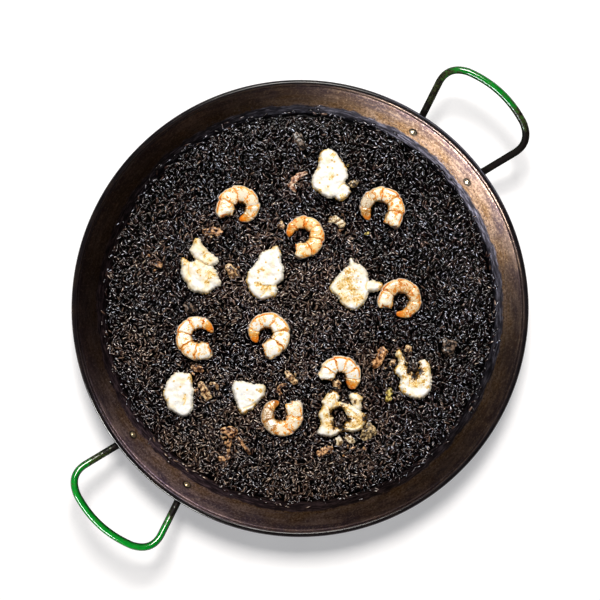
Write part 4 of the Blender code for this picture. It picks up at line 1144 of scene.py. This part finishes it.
def prawn_skirt(t, a, around):
    """How far the swimming legs and thin flesh under the body spread on the rice as a ragged skirt."""
    before_tail = float(eased((0.97 - t) / 0.08))
    inner = math.exp(-(((a - INNER_SKIRT_ANGLE) / 0.36) ** 2)) * before_tail
    outer = math.exp(-(((a - OUTER_SKIRT_ANGLE) / 0.34) ** 2)) * before_tail
    frayed = 0.5 + 0.9 * wave(around, 5 * MM, 3) + 0.5 * wave(around, 1.8 * MM, 5)
    spread = 2.2 * MM * inner * min(max(frayed, 0.0), 1.0)
    return spread + 0.9 * MM * outer * min(max(1 - frayed, 0.0), 1.0)


def make_prawn(number, prawn, flesh):
    """A curled body of overlapping plates, lying on its side."""
    centre = np.array(prawn["centre"]) * MM
    rings, values = [], dict(joint=[], back=[], tail=[], vein=[], skirt=[], dulled=[])
    start, end, strength = prawn.get("dulled", (0, 1, 0))
    for t in np.linspace(0, 1.034, PRAWN_STATIONS):
        half = prawn_half_width(prawn, t)
        bearing, radius = prawn_middle(prawn, t)
        around = (radius * math.cos(bearing), radius * math.sin(bearing), number * MM)
        dulled = strength * float(eased((t - start) / 0.15) * eased((end + 0.1 - t) / 0.1))
        torn = max(0.0, 1 - t / 0.12)
        ring = []
        for k in range(PRAWN_SIDES):
            a = 2 * math.pi * k / PRAWN_SIDES
            out, up = (
                math.copysign(abs(part) ** PRAWN_BOXINESS, part) for part in (math.cos(a), math.sin(a))
            )
            # Joints bow towards the tail over the side, as the edges of the plates do.
            bowed = t - 0.022 * math.sin(a) * (0.1 < t < 0.95) + 0.008 * math.cos(a)
            wide = half * prawn_swell(t if t > 0.95 else min(max(bowed, 0.0), 0.984))
            vein, skirt = prawn_vein(number, t, a, around), prawn_skirt(t, a, around)
            wide = wide - 0.7 * MM * vein + skirt
            reach = radius + wide * out
            height = PRAWN_FLATNESS * (1.03 * half + wide * up)
            # The head end is cut square and torn, so its belly side runs on a little round the curl.
            lead = 0.25 * max(0.0, -math.cos(a)) - 0.22 * max(0.0, math.cos(a)) ** 2
            lead += 0.2 * wave((half * out, half * up, 0), 4.5 * MM, number)
            turned = bearing - math.copysign(1, prawn["turn"]) * torn * lead
            x, y = centre[0] + reach * math.cos(turned), centre[1] + reach * math.sin(turned)
            place = Vector((x, y, height))
            nudge = 0.65 * MM * (1 + torn) * wave(place, 5 * MM, number)
            nudge += 0.3 * MM * wave(place, 1.7 * MM, number)
            outward = Vector((math.cos(bearing) * math.cos(a), math.sin(bearing) * math.cos(a), math.sin(a)))
            ring.append(place + outward * nudge + Vector((0, 0, TOPPING_FLOOR)))
            found = dict(joint=bowed * PRAWN_SEGMENTS, back=math.cos(a), tail=t, vein=vein, skirt=skirt / MM,
                         dulled=dulled)
            for name, value in found.items():
                values[name].append(value)
        rings.append(ring)
    points, faces = loft(rings)
    points[:, 2] = points[:, 2].clip(TOPPING_FLOOR)
    ends = dict(joint=(0.5, 5.5), back=(0, 0), tail=(0, 1), vein=(0, 0), skirt=(0, 0), dulled=(0, 0))
    make_piece(f"cooked_prawn_{number}", points, faces, flesh, "prawn_flesh", [f"prawn_{number}"],
               orange=np.full(len(points), prawn["orange"]),
               **{name: numbers + list(ends[name]) for name, numbers in values.items()})


def prawn_browning(tree, place, at, clouds, mottled, patchy):
    """How far each place is cooked, from 0, milky, through gold and orange to 1, rust brown."""
    mild = node(tree, "MapRange", {0: mottled, 1: 0.5, 2: 0.58, 3: 0, 4: 0.46}).outputs[0]
    deeper = node(tree, "MapRange", {0: at["orange"], 3: -0.16, 4: 0.24}).outputs[0]
    body = node(tree, "Math", {0: mild, 1: deeper}, operation="ADD", use_clamp=True).outputs[0]
    # The cut head end stays milky.
    milky = node(tree, "MapRange", {0: at["tail"], 1: 0.02, 2: 0.22, 3: 0.45, 4: 1}).outputs[0]
    body = node(tree, "Math", {0: body, 1: milky}, operation="MULTIPLY").outputs[0]
    belly = node(tree, "MapRange", {0: at["back"], 1: -0.6, 2: -0.98, 3: 0, 4: 0.4}).outputs[0]
    along_back = node(tree, "MapRange", {0: at["back"], 1: 0.5, 2: 0.84, 3: 0, 4: 0.3}).outputs[0]

    # Bands at the joints: orange, with a thin darker line where two plates meet.
    shifted = node(tree, "MapRange", {0: clouds, 1: 0.3, 2: 0.7, 3: -0.14, 4: 0.14}).outputs[0]
    warped = node(tree, "Math", {0: at["joint"], 1: shifted}, operation="ADD").outputs[0]
    to_joint = node(tree, "Math", {0: warped, 1: 0.5}, operation="PINGPONG").outputs[0]
    band = node(tree, "MapRange", {0: to_joint, 1: 0.02, 2: 0.17, 3: 0.5, 4: 0}).outputs[0]
    line = node(tree, "MapRange", {0: to_joint, 1: 0.02, 2: 0.055, 3: 0.98, 4: 0}).outputs[0]
    # Some joints are strong and some faint.
    uneven = node(tree, "TexNoise", {"Vector": place, "Scale": every(14), "Detail": 2}).outputs["Fac"]
    strong = node(tree, "MapRange", {0: uneven, 1: 0.38, 2: 0.56, 3: 0.35, 4: 1.15}).outputs[0]
    band, line = (
        node(tree, "Math", {0: mark, 1: strong}, operation="MULTIPLY").outputs[0] for mark in (band, line)
    )

    streak = node(tree, "Math", {0: at["vein"], 1: 1.1}, operation="MULTIPLY").outputs[0]
    at_tail = node(tree, "MapRange", {0: at["tail"], 1: 0.8, 2: 0.98, 3: 0, 4: 0.72}).outputs[0]
    cooked = body
    for mark in (belly, along_back, band, line, streak, at_tail):
        broken = node(tree, "Math", {0: mark, 1: patchy}, operation="MULTIPLY").outputs[0]
        cooked = node(tree, "Math", {0: cooked, 1: broken}, operation="MAXIMUM").outputs[0]
    return cooked


def cooked_prawn_flesh():
    """Peeled prawn, fried and then cooked in the rice: opaque milky flesh with a moist shine, golden where
    it browned, and orange-red pigment left at the joints, along the vein and at the tail."""
    made, tree, shader = new_material("cooked_prawn_flesh")
    place = node(tree, "TexCoord").outputs["Object"]
    at = {
        name: node(tree, "Attribute", attribute_name=name).outputs["Fac"]
        for name in ("joint", "back", "tail", "vein", "skirt", "orange", "dulled")
    }
    clouds = node(tree, "TexNoise", {"Vector": place, "Scale": every(5), "Detail": 5}).outputs["Fac"]
    fine = node(tree, "TexNoise", {"Vector": place, "Scale": every(1.7), "Detail": 4}).outputs["Fac"]
    fibre = node(tree, "TexNoise", {"Vector": place, "Scale": every(2.6), "Detail": 5, "Distortion": 1.4})
    fibre = fibre.outputs["Fac"]
    mottled = node(tree, "Mix", {0: 0.5, 2: clouds, 3: fibre}).outputs[0]
    # Browning is broken up along the fibres.
    patchy = node(tree, "MapRange", {0: fibre, 1: 0.36, 2: 0.5, 3: 0.35, 4: 1}).outputs[0]
    cooked = prawn_browning(tree, place, at, clouds, mottled, patchy)
    flesh = node(tree, "ValToRGB", {0: cooked},
                 stops=[(0.0, "fffdf6"), (1.0, "a0400a"), (0.12, "fff2da"), (0.28, "fdcf7e"),
                        (0.5, "f99a22"), (0.76, "ee7812")]).outputs[0]
    # Flesh that soaked up stock, in ragged patches.
    soaked = node(tree, "MapRange", {0: mottled, 1: 0.4, 2: 0.58, 3: 0.1, 4: 1}).outputs[0]
    soaked = node(tree, "Math", {0: soaked, 1: at["dulled"]}, operation="MULTIPLY").outputs[0]
    flesh = node(tree, "Mix", {0: soaked, 6: flesh, 7: linear("8c6438")}, data_type="RGBA").outputs[2]
    # A clear pale skin stands out along the back.
    rind = node(tree, "MapRange", {0: at["back"], 1: 0.83, 2: 0.9, 3: 0, 4: 0.85}).outputs[0]
    rind = node(tree, "Math", {0: rind, 1: patchy}, operation="MULTIPLY").outputs[0]
    skinned = node(tree, "Mix", {0: rind, 6: flesh, 7: linear("fff0e6")}, data_type="RGBA").outputs[2]
    # The skirt is thin and stained, so it goes from brown to tan.
    thin = node(tree, "MapRange", {0: at["skirt"], 1: 0.15, 2: 0.9, 3: 0, 4: 0.9}).outputs[0]
    fringe = node(tree, "ValToRGB", {0: fine}, stops=[(0.4, "4a2e16"), (0.62, "c89a5c")]).outputs[0]
    fringed = node(tree, "Mix", {0: thin, 6: skinned, 7: fringe}, data_type="RGBA").outputs[2]

    # Darker low on the sides, next to the rice, and ink splashed on top in specks.
    height = node(tree, "SeparateXYZ", {0: place}).outputs["Z"]
    low = node(tree, "MapRange", {0: height, 1: 14 * MM, 2: 17.2 * MM, 3: 0.85, 4: 0}).outputs[0]
    stained = node(tree, "MapRange", {0: fine, 1: 0.4, 2: 0.56, 3: 0.3, 4: 1}).outputs[0]
    ink = node(tree, "Math", {0: low, 1: stained}, operation="MULTIPLY").outputs[0]
    cells = node(tree, "TexVoronoi", {"Vector": place, "Scale": every(6)}).outputs["Distance"]
    speck = node(tree, "MapRange", {0: cells, 1: 0.07, 2: 0.11, 3: 0.8, 4: 0}).outputs[0]
    inked = node(tree, "Math", {0: ink, 1: speck}, operation="MAXIMUM").outputs[0]
    colour = node(tree, "Mix", {0: inked, 6: fringed, 7: linear("4a2c12")}, data_type="RGBA").outputs[2]
    relief = node(tree, "Mix", {0: 0.5, 2: fine, 3: fibre}).outputs[0]
    bump = node(tree, "Bump", {"Strength": 0.7, "Distance": 0.7 * MM, "Height": relief}).outputs[0]
    feed(tree, shader, {"Base Color": colour, "Roughness": 0.3, "Coat Weight": 0.7, "Coat Roughness": 0.1,
                        "Subsurface Weight": 0.1, "Subsurface Radius": (1.4, 1.1, 0.8),
                        "Subsurface Scale": 1 * MM, "Normal": bump})
    return made


def make_prawns():
    """The eight prawns."""
    flesh = cooked_prawn_flesh()
    for number, prawn in enumerate(PRAWNS, 1):
        make_prawn(number, prawn, flesh)


# Fish


def ragged_outline(corners, seed):
    """A flake's outline at close even steps, with small nicks where it broke."""
    curve = smooth_path(corners, 10, closed=True) * MM
    around = distance_along(np.vstack([curve, curve[:1]]))[-1]
    outline = resampled(curve, int(around / (0.7 * MM)), closed=True)
    along = np.roll(outline, -1, axis=0) - np.roll(outline, 1, axis=0)
    across = np.column_stack([-along[:, 1], along[:, 0]]) / np.linalg.norm(along, axis=1)[:, None]
    nicks = [
        FISH_HEM + 0.8 * MM * wave((x, y, 0), 5.5 * MM, seed) + 0.9 * MM * wave((x, y, 0), 1.7 * MM, seed)
        for x, y in outline
    ]
    outward = -1 if inside_outline(outline[:1] + 0.1 * MM * across[:1], outline)[0] else 1
    return outline + outward * across * np.array(nicks)[:, None]


def inside_borders(points, borders):
    """For each 2D point, whether it lies in the first border and outside the others, which are holes."""
    inside = inside_outline(points, borders[0])
    for hole in borders[1:]:
        inside &= ~inside_outline(points, hole)
    return inside


def distance_to_borders(points, borders):
    """For each 2D point, its distance to the nearest border."""
    return np.min([distance_to_line(points, border, closed=True) for border in borders], axis=0)


def flake_net(borders):
    """A flat net of small triangles that fills the borders: its points, its faces, and for each point
    whether it lies on a border."""
    low, high = borders[0].min(axis=0), borders[0].max(axis=0)
    steps = np.ceil((high - low) / FISH_GRID).astype(int)
    grid = np.array([
        low + FISH_GRID * np.array([i + 0.5 * (j % 2), j * 0.87])
        for i in range(steps[0] + 1)
        for j in range(int(steps[1] / 0.87) + 1)
    ])
    grid = grid[inside_borders(grid, borders) & (distance_to_borders(grid, borders) > 0.5 * FISH_GRID)]
    points, lines = [], []
    for border in borders:
        first = len(points)
        points += [Vector(p) for p in border]
        lines += [(first + i, first + (i + 1) % len(border)) for i in range(len(border))]
    rim_count = len(points)
    points += [Vector(p) for p in grid]
    flat, _, faces, sources, _, _ = delaunay_2d_cdt(points, lines, [], 0, 1e-7)
    flat = np.array([tuple(p) for p in flat])
    middles = np.array([flat[list(face)].mean(axis=0) for face in faces])
    faces = [face for face, kept in zip(faces, inside_borders(middles, borders)) if kept]
    on_rim = np.array([bool(s) and min(s) < rim_count for s in sources])
    return flat, faces, on_rim


def make_flake(name, fish, flesh, node_name, seed):
    """A flake of fish: a flat slab with rounded shoulders, an uneven top and torn edges."""
    borders = [ragged_outline(fish["outline"], seed)]
    if "hole" in fish:
        borders.append(ragged_outline(fish["hole"], seed))
    flat, faces, on_rim = flake_net(borders)
    to_edge = np.where(on_rim, 0, distance_to_borders(flat, borders))

    crease = np.zeros(len(flat))
    for path in fish.get("creases", ()):
        gap = distance_to_line(flat, smooth_path(path, 6) * MM)
        crease = np.maximum(crease, np.exp(-((gap / (0.9 * MM)) ** 2)))
    shoulder = np.sqrt(1 - (1 - np.clip((to_edge - FISH_HEM) / FISH_ROUNDING, 0, 1)) ** 2)
    relief = (1 + 0.9 * fish.get("stock", 0)) * np.array([
        0.8 * MM * wave((x, y, 0), 9 * MM, seed) + 0.55 * MM * wave((x, y, 0), 3.6 * MM, seed)
        + 0.3 * MM * wave((x, y, 0), 1.6 * MM, seed)
        for x, y in flat
    ]).clip(-1 * MM, 0.6 * MM)
    rim_level = 0.6 * FISH_THICKNESS
    top = rim_level + (FISH_THICKNESS - 0.4 * MM - rim_level) * shoulder
    top = top + (relief - 1.3 * MM * crease) * shoulder
    bottom = rim_level * (1 - np.clip(to_edge / (1.5 * MM), 0, 1))

    count = len(flat)
    under = np.where(on_rim, np.arange(count), count + np.cumsum(~on_rim) - 1)
    upper = np.column_stack([flat, TOPPING_FLOOR + top])
    lower = np.column_stack([flat, TOPPING_FLOOR + bottom])[~on_rim]
    all_faces = [tuple(face) for face in faces]
    all_faces += [tuple(int(under[i]) for i in reversed(face)) for face in faces]
    values = dict(
        browned=nearness(flat, fish["browned"]),
        spots=nearness(flat, fish.get("spots", ()), decay=0.9),
        golden=nearness(flat, fish.get("golden", ())),
        charred=nearness(flat, fish.get("charred", ())),
        speckled=nearness(flat, fish.get("speckled", ())),
        edge=np.exp(-((to_edge / (1.1 * MM)) ** 2)),
        crease=crease,
        stock=np.full(count, fish.get("stock", 0.05)),
    )
    make_piece(name, np.vstack([upper, lower]), all_faces, flesh, "fish_flesh", [node_name],
               **{word: np.concatenate([numbers, numbers[~on_rim]]) for word, numbers in values.items()})


def fish_browning(tree, at, streaks, ragged, fine):
    """Browned marks: a ragged, streaky crust where the flesh touched the pan, small spots, fine specks and
    darker folds."""
    touched = node(tree, "Math", {0: at["browned"], 1: ragged}, operation="ADD").outputs[0]
    strewn = node(tree, "MapRange", {0: touched, 1: 0.35, 2: 1.15, 3: 0, 4: 0.4}).outputs[0]
    hotter = node(tree, "MapRange", {0: fine, 1: 0.45, 2: 0.62, 3: 0.6, 4: 1.35}).outputs[0]
    crust = node(tree, "Math", {0: strewn, 1: hotter}, operation="MULTIPLY").outputs[0]
    spot = node(tree, "Math", {0: at["spots"], 1: 0.44}, operation="MULTIPLY").outputs[0]
    clumped = node(tree, "MapRange", {0: streaks, 1: 0.44, 2: 0.58, 3: 0.1, 4: 1}).outputs[0]
    specks = node(tree, "MapRange", {0: fine, 1: 0.5, 2: 0.62, 3: 0, 4: 0.8}).outputs[0]
    specks = node(tree, "Math", {0: specks, 1: clumped}, operation="MULTIPLY").outputs[0]
    specks = node(tree, "Math", {0: specks, 1: at["speckled"]}, operation="MULTIPLY").outputs[0]
    folded = node(tree, "MapRange", {0: at["crease"], 1: 0.3, 2: 0.95, 3: 0, 4: 0.24}).outputs[0]
    return crust, spot, specks, folded


def cooked_white_fish():
    """White fish, floured and fried, then cooked in the rice: opaque white flesh, golden where it touched
    the hot pan, tan where it took up stock, and grey and clear at its thin edges."""
    made, tree, shader = new_material("cooked_white_fish")
    place = node(tree, "TexCoord").outputs["Object"]
    at = {
        name: node(tree, "Attribute", attribute_name=name).outputs["Fac"]
        for name in ("browned", "charred", "speckled", "edge", "crease", "spots", "stock", "golden")
    }
    clouds = node(tree, "TexNoise", {"Vector": place, "Scale": every(11), "Detail": 4}).outputs["Fac"]
    lumps = node(tree, "TexNoise", {"Vector": place, "Scale": every(4), "Detail": 4}).outputs["Fac"]
    fine = node(tree, "TexNoise", {"Vector": place, "Scale": every(1.8), "Detail": 5}).outputs["Fac"]
    streaks = node(tree, "TexNoise", {"Vector": place, "Scale": every(4), "Detail": 7, "Roughness": 0.65,
                                      "Distortion": 1.6}).outputs["Fac"]
    ragged = node(tree, "MapRange", {0: streaks, 1: 0.3, 2: 0.7, 3: -0.55, 4: 0.55}).outputs[0]
    soaked = node(tree, "MapRange", {0: at["stock"], 3: -0.12, 4: 0.32}).outputs[0]
    toned = node(tree, "Math", {0: clouds, 1: soaked}, operation="ADD").outputs[0]
    flesh = node(tree, "ValToRGB", {0: toned},
                 stops=[(0.42, "fffdf8"), (0.9, "e0b46e"), (0.62, "fae9c6")]).outputs[0]

    # Thin edges: golden in some stretches, grey and clear in others.
    thinned = node(tree, "MapRange", {0: lumps, 1: 0.38, 2: 0.6, 3: 0.25, 4: 1.1}).outputs[0]
    hemmed = node(tree, "Math", {0: at["edge"], 1: thinned}, operation="MULTIPLY", use_clamp=True).outputs[0]
    edged = node(tree, "Mix", {0: hemmed, 6: flesh, 7: linear("e4dac2")}, data_type="RGBA").outputs[2]
    gold = node(tree, "MapRange", {0: at["golden"], 1: 0.1, 2: 0.6, 3: 0.06, 4: 0.46}).outputs[0]
    gilt = node(tree, "Math", {0: hemmed, 1: gold}, operation="MULTIPLY").outputs[0]

    # Torn, inky flesh in a few places, and darker low round the edge, next to the rice.
    height = node(tree, "SeparateXYZ", {0: place}).outputs["Z"]
    low = node(tree, "MapRange", {0: height, 1: 14.2 * MM, 2: 16 * MM, 3: 0.85, 4: 0}).outputs[0]
    torn = node(tree, "Math", {0: at["charred"], 1: ragged}, operation="ADD").outputs[0]
    burnt = node(tree, "MapRange", {0: torn, 1: 0.38, 2: 0.8}).outputs[0]
    inked = node(tree, "Math", {0: low, 1: burnt}, operation="MAXIMUM").outputs[0]

    # One scale from pale gold through brown to black gives all of these their colour.
    toasted = inked
    for mark in (*fish_browning(tree, at, streaks, ragged, fine), gilt):
        toasted = node(tree, "Math", {0: toasted, 1: mark}, operation="MAXIMUM").outputs[0]
    crusty = node(tree, "ValToRGB", {0: toasted},
                  stops=[(0.0, "f8e4ac"), (1.0, "140d08"), (0.2, "ecc670"), (0.38, "c8922e"),
                         (0.58, "8a5a1c"), (0.8, "3c2410")]).outputs[0]
    share = node(tree, "MapRange", {0: toasted, 1: 0.02, 2: 0.22}).outputs[0]
    colour = node(tree, "Mix", {0: share, 6: edged, 7: crusty}, data_type="RGBA").outputs[2]
    relief = node(tree, "Mix", {0: 0.5, 2: fine, 3: streaks}).outputs[0]
    bump = node(tree, "Bump", {"Strength": 0.8, "Distance": 0.6 * MM, "Height": relief}).outputs[0]
    feed(tree, shader, {"Base Color": colour, "Roughness": 0.45, "Subsurface Weight": 0.1,
                        "Subsurface Radius": (1.4, 1.2, 1.0), "Subsurface Scale": 1 * MM, "Normal": bump})
    return made


def make_fish():
    """The nine flakes of fish and the torn ring."""
    flesh = cooked_white_fish()
    for number, fish in enumerate(FISH, 1):
        make_flake(f"white_fish_{number}", fish, flesh, f"fish_{number}", seed=number)
    make_flake("white_fish_ring", FISH_RING, flesh, "fish_ring", seed=31)


# Squid


def strip_rings(strip, seed, sides=16, stations=30):
    """Rings of a limp strip, uneven along its length and crimped by the heat, with raised edges."""
    path = resampled(smooth_path(strip["path"], 8) * MM, stations)
    half_width = strip["width"] / 2 * MM
    half_height = max(STRIP_HEIGHT * half_width, 2 * MM)
    rings = []
    for i, point in enumerate(path):
        along = path[min(i + 1, stations - 1)] - path[max(i - 1, 0)]
        along /= np.linalg.norm(along)
        across = np.array([-along[1], along[0]])
        taper = 0.3 + 0.7 * math.sin(math.pi * i / (stations - 1)) ** 0.5
        uneven = taper * (1 + 0.3 * wave((*point, 0), 5 * MM, seed))
        ring = []
        for k in range(sides):
            a = 2 * math.pi * k / sides
            x, y = point + across * half_width * uneven * math.cos(a)
            dip = 0.45 * math.exp(-((math.cos(a) / 0.4) ** 2)) if k < sides / 2 else 0
            place = Vector((x, y, half_height * (1 + taper * math.sin(a) * (1 - dip))))
            nudge = 0.55 * wave(place, 2.8 * MM, seed) + 0.35 * wave(place, 1.2 * MM, seed)
            spread = Vector((*(across * math.cos(a)), math.sin(a)))
            crimped = place + spread * nudge * min(1 * MM, 0.3 * half_width)
            ring.append(crimped + Vector((0, 0, TOPPING_FLOOR)))
        rings.append(ring)
    return rings


def make_strips(strips, name, finish, slot, seed, stands_for=(), **counts):
    """One piece of one or more strips. The rim value is 1 along their raised edges and 0 between them."""
    all_points, all_faces, rim = [], [], []
    for number, strip in enumerate(strips):
        rings = strip_rings(strip, seed + number, **counts)
        points, faces = loft(rings)
        first = len(all_points)
        all_points += list(points)
        all_faces += [tuple(first + i for i in face) for face in faces]
        sides = len(rings[0])
        rim += [abs(math.cos(2 * math.pi * k / sides)) for k in range(sides)] * len(rings) + [0, 0]
    make_piece(name, all_points, all_faces, finish, slot, stands_for, rim=rim)


def torn_parts(strip, seed):
    """A strip and the shreds that hang along its sides."""
    draw = np.random.default_rng(seed)
    path = resampled(smooth_path(strip["path"], 8), 30)
    found = [strip]
    for place in draw.integers(3, 27, 3):
        along = path[place + 2] - path[place - 2]
        along /= np.linalg.norm(along)
        turn, length = draw.uniform(-0.7, 0.7), draw.uniform(0.5, 0.9) * strip["width"]
        slanted = np.array([along[0] * math.cos(turn) - along[1] * math.sin(turn),
                            along[0] * math.sin(turn) + along[1] * math.cos(turn)])
        middle = path[place] + np.array([-along[1], along[0]]) * draw.choice([-0.38, 0.38]) * strip["width"]
        width = draw.uniform(0.35, 0.6) * strip["width"]
        reach = slanted * length / 2
        found.append(dict(path=[middle - reach, middle, middle + reach], width=width))
    return found


def crumb_strips(clusters, blocked, draw):
    """Short strips strewn in clusters, clear of what lies on the rice."""
    found = []
    for x, y, spread, count in clusters:
        for _ in range(count):
            place = np.array((x, y)) + draw.normal(0, 0.6 * spread, 2)
            turn, length, width = draw.uniform(0, math.pi), draw.uniform(2.5, 5.5), draw.uniform(1.8, 3.4)
            reach = 0.5 * length * np.array((math.cos(turn), math.sin(turn)))
            points = np.array([place - reach, place, place + reach]) * MM
            clear = all(
                not inside_outline(points, outline).any() and distance_to_line(points, outline).min() > 2 * MM
                if half_width is None
                else distance_to_line(points, outline).min() > half_width + 2 * MM
                for outline, half_width in blocked
            )
            if clear:
                found.append(dict(path=points / MM, width=width))
    return found


def cooked_squid(kind, dark, middle, light):
    """Squid, cut and fried: firm, slightly clear flesh with a wet shine, in the browns, pinks and blacks
    that the pan and its own ink leave, and paler along its curled edges."""
    made, tree, shader = new_material(f"cooked_squid_{kind}")
    place = node(tree, "TexCoord").outputs["Object"]
    rim = node(tree, "Attribute", attribute_name="rim").outputs["Fac"]
    clouds = node(tree, "TexNoise", {"Vector": place, "Scale": every(3), "Detail": 6, "Distortion": 0.3})
    fine = node(tree, "TexNoise", {"Vector": place, "Scale": every(1.3), "Detail": 4}).outputs["Fac"]
    edged = node(tree, "MapRange", {0: rim, 1: 0.3, 2: 1, 3: -0.03, 4: 0.05}).outputs[0]
    toned = node(tree, "Math", {0: clouds.outputs["Fac"], 1: edged}, operation="ADD").outputs[0]
    flesh = node(tree, "ValToRGB", {0: toned}, stops=[(0.41, dark), (0.61, light), (0.5, middle)]).outputs[0]
    pits = node(tree, "MapRange", {0: fine, 1: 0.56, 2: 0.66, 3: 0, 4: 0.6}).outputs[0]
    pitted = node(tree, "Mix", {0: pits, 6: flesh, 7: linear(dark)}, data_type="RGBA").outputs[2]
    # Darker low on the sides, next to the rice.
    height = node(tree, "SeparateXYZ", {0: place}).outputs["Z"]
    low = node(tree, "MapRange", {0: height, 1: 14.2 * MM, 2: 15.8 * MM, 3: 0.9, 4: 0}).outputs[0]
    colour = node(tree, "Mix", {0: low, 6: pitted, 7: linear("0c0807")}, data_type="RGBA").outputs[2]
    bump = node(tree, "Bump", {"Strength": 0.6, "Distance": 0.5 * MM, "Height": fine}).outputs[0]
    feed(tree, shader, {"Base Color": colour, "Roughness": 0.22, "Normal": bump})
    return made


def make_squid(toppings):
    """The strips of squid, the baby squid, the shreds caught in the fish and the crumbs."""
    slots = {kind: slot for kind, (slot, *_) in SQUID_KINDS.items()}
    finishes = {kind: cooked_squid(kind, *colours) for kind, (_, *colours) in SQUID_KINDS.items()}
    for number, strip in enumerate(SQUID_STRIPS, 1):
        kind = strip["kind"]
        make_strips(torn_parts(strip, number), f"squid_strip_{number}", finishes[kind], slots[kind],
                    seed=number, stands_for=[f"squid_{number}"])
    make_strips(BABY_SQUID, "baby_squid_whole", finishes["brown"], slots["brown"], seed=40,
                stands_for=["baby_squid"])
    make_strips(TORN_SHREDS, "squid_shreds_dark", finishes["dark"], slots["dark"], seed=50)
    draw = np.random.default_rng(5)
    for kind, clusters in SQUID_CRUMBS.items():
        crumbs = crumb_strips(clusters, toppings, draw)
        make_strips(crumbs, f"squid_crumbs_{kind}", finishes[kind], slots[kind], seed=60,
                    sides=8, stations=9)


# Stage


def plan_direction(bearing, elevation):
    """A direction in the part's frame from its bearing on the plan and its height, in degrees."""
    a, e = math.radians(bearing) - PLAN_TURN, math.radians(elevation)
    return Vector((math.cos(a) * math.cos(e), math.sin(a) * math.cos(e), math.sin(e)))


def add_softbox(name, bearing, elevation, distance, size, watts, colour, only_on=()):
    """A soft rectangular light aimed at the pan. With only_on it lights nothing but the pieces whose
    names start with one of those words."""
    light = bpy.data.lights.new(name, "AREA")
    light.shape = "RECTANGLE"
    light.size, light.size_y = size
    light.energy = watts
    light.color = linear(colour)[:3]
    lamp = bpy.data.objects.new(name, light)
    lamp.location = plan_direction(bearing, elevation) * distance
    lamp.rotation_euler = plan_direction(bearing, elevation).to_track_quat("Z", "Y").to_euler()
    bpy.context.scene.collection.objects.link(lamp)
    if only_on:
        lit = bpy.data.collections.new("lit_by_" + name)
        for piece in bpy.data.objects:
            if piece.name.startswith(only_on):
                lit.objects.link(piece)
        lamp.light_linking.receiver_collection = lit


def add_floor():
    """A plain studio floor of matt white acrylic. It glows a little, so that it turns white in the picture
    and the shadows on it stay soft."""
    data = bpy.data.meshes.new("studio_floor")
    half = 12.0
    corners = [(-half, -half, 0), (half, -half, 0), (half, half, 0), (-half, half, 0)]
    data.from_pydata(corners, [], [(0, 1, 2, 3)])
    made, tree, shader = new_material("matt_white_acrylic")
    place = node(tree, "TexCoord").outputs["Object"]
    grain = node(tree, "TexNoise", {"Vector": place, "Scale": every(40), "Detail": 2}).outputs["Fac"]
    colour = node(tree, "ValToRGB", {0: grain}, stops=[(0.3, "d4d4d6"), (0.7, "d7d7d9")]).outputs[0]
    feed(tree, shader, {"Base Color": colour, "Emission Color": colour, "Emission Strength": 0.58,
                        "Roughness": 0.9, "Specular IOR Level": 0})
    data.materials.append(made)
    floor = bpy.data.objects.new("studio_floor", data)
    floor.location.z = -0.2 * MM
    bpy.context.scene.collection.objects.link(floor)


def add_sky():
    """Even soft light from above that fades towards the horizon."""
    world = bpy.data.worlds.new("studio")
    world.use_nodes = True
    tree = world.node_tree
    up = node(tree, "SeparateXYZ", {0: node(tree, "TexCoord").outputs["Generated"]}).outputs["Z"]
    strength = node(tree, "MapRange", {0: up, 1: 0.4, 2: 1.0, 3: 0.01, 4: 0.055}).outputs[0]
    feed(tree, tree.nodes["Background"], {"Color": linear("f6f8ff"), "Strength": strength})
    bpy.context.scene.world = world


def add_camera():
    """The camera over the pan, upright on the plan."""
    camera = bpy.data.cameras.new("camera")
    camera.sensor_width = 36
    camera.lens = camera.sensor_width * CAMERA_ABOVE_RIM / PICTURE_WIDTH
    camera.clip_end = 20
    holder = bpy.data.objects.new("camera", camera)
    x, y = PICTURE_OFFSET
    holder.location = Matrix.Rotation(-PLAN_TURN, 3, "Z") @ Vector((x, y, RIM_HEIGHT + CAMERA_ABOVE_RIM))
    holder.rotation_euler = (0, 0, -PLAN_TURN)
    bpy.context.scene.collection.objects.link(holder)
    bpy.context.scene.camera = holder


def add_lights():
    """One large light over the pan, and low ones that rake the grains, the rods and the wall."""
    add_softbox("top", 91, 59, 4.0, (1.25, 1.25), 208, "fffbf5")
    add_softbox("rake", 219, 9, 1.6, (1.0, 0.4), 120, "e6eeff", ("rivet_head", "rice_"))
    add_softbox("handle_rake", 222, 36, 1.6, (0.9, 0.2), 34, "f4f8ff", ("handle_rod",))
    add_softbox("wall_rake", 224, 9, 1.6, (1.15, 0.4), 120, "f5f6f2", ("pan_",))
    add_softbox("wall_fill", 48, 22, 1.6, (1.0, 0.5), 24, "e6e6ff", ("pan_",))


def main():
    """Dresses the pan and its food, then sets the stage."""
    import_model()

    toppings = footprints()
    make_pan()
    make_handles()
    make_rice(toppings)
    make_prawns()
    make_fish()
    make_squid(toppings)

    add_camera()
    add_sky()
    add_floor()
    add_lights()
    bpy.context.scene.view_settings.view_transform = "Standard"


main()
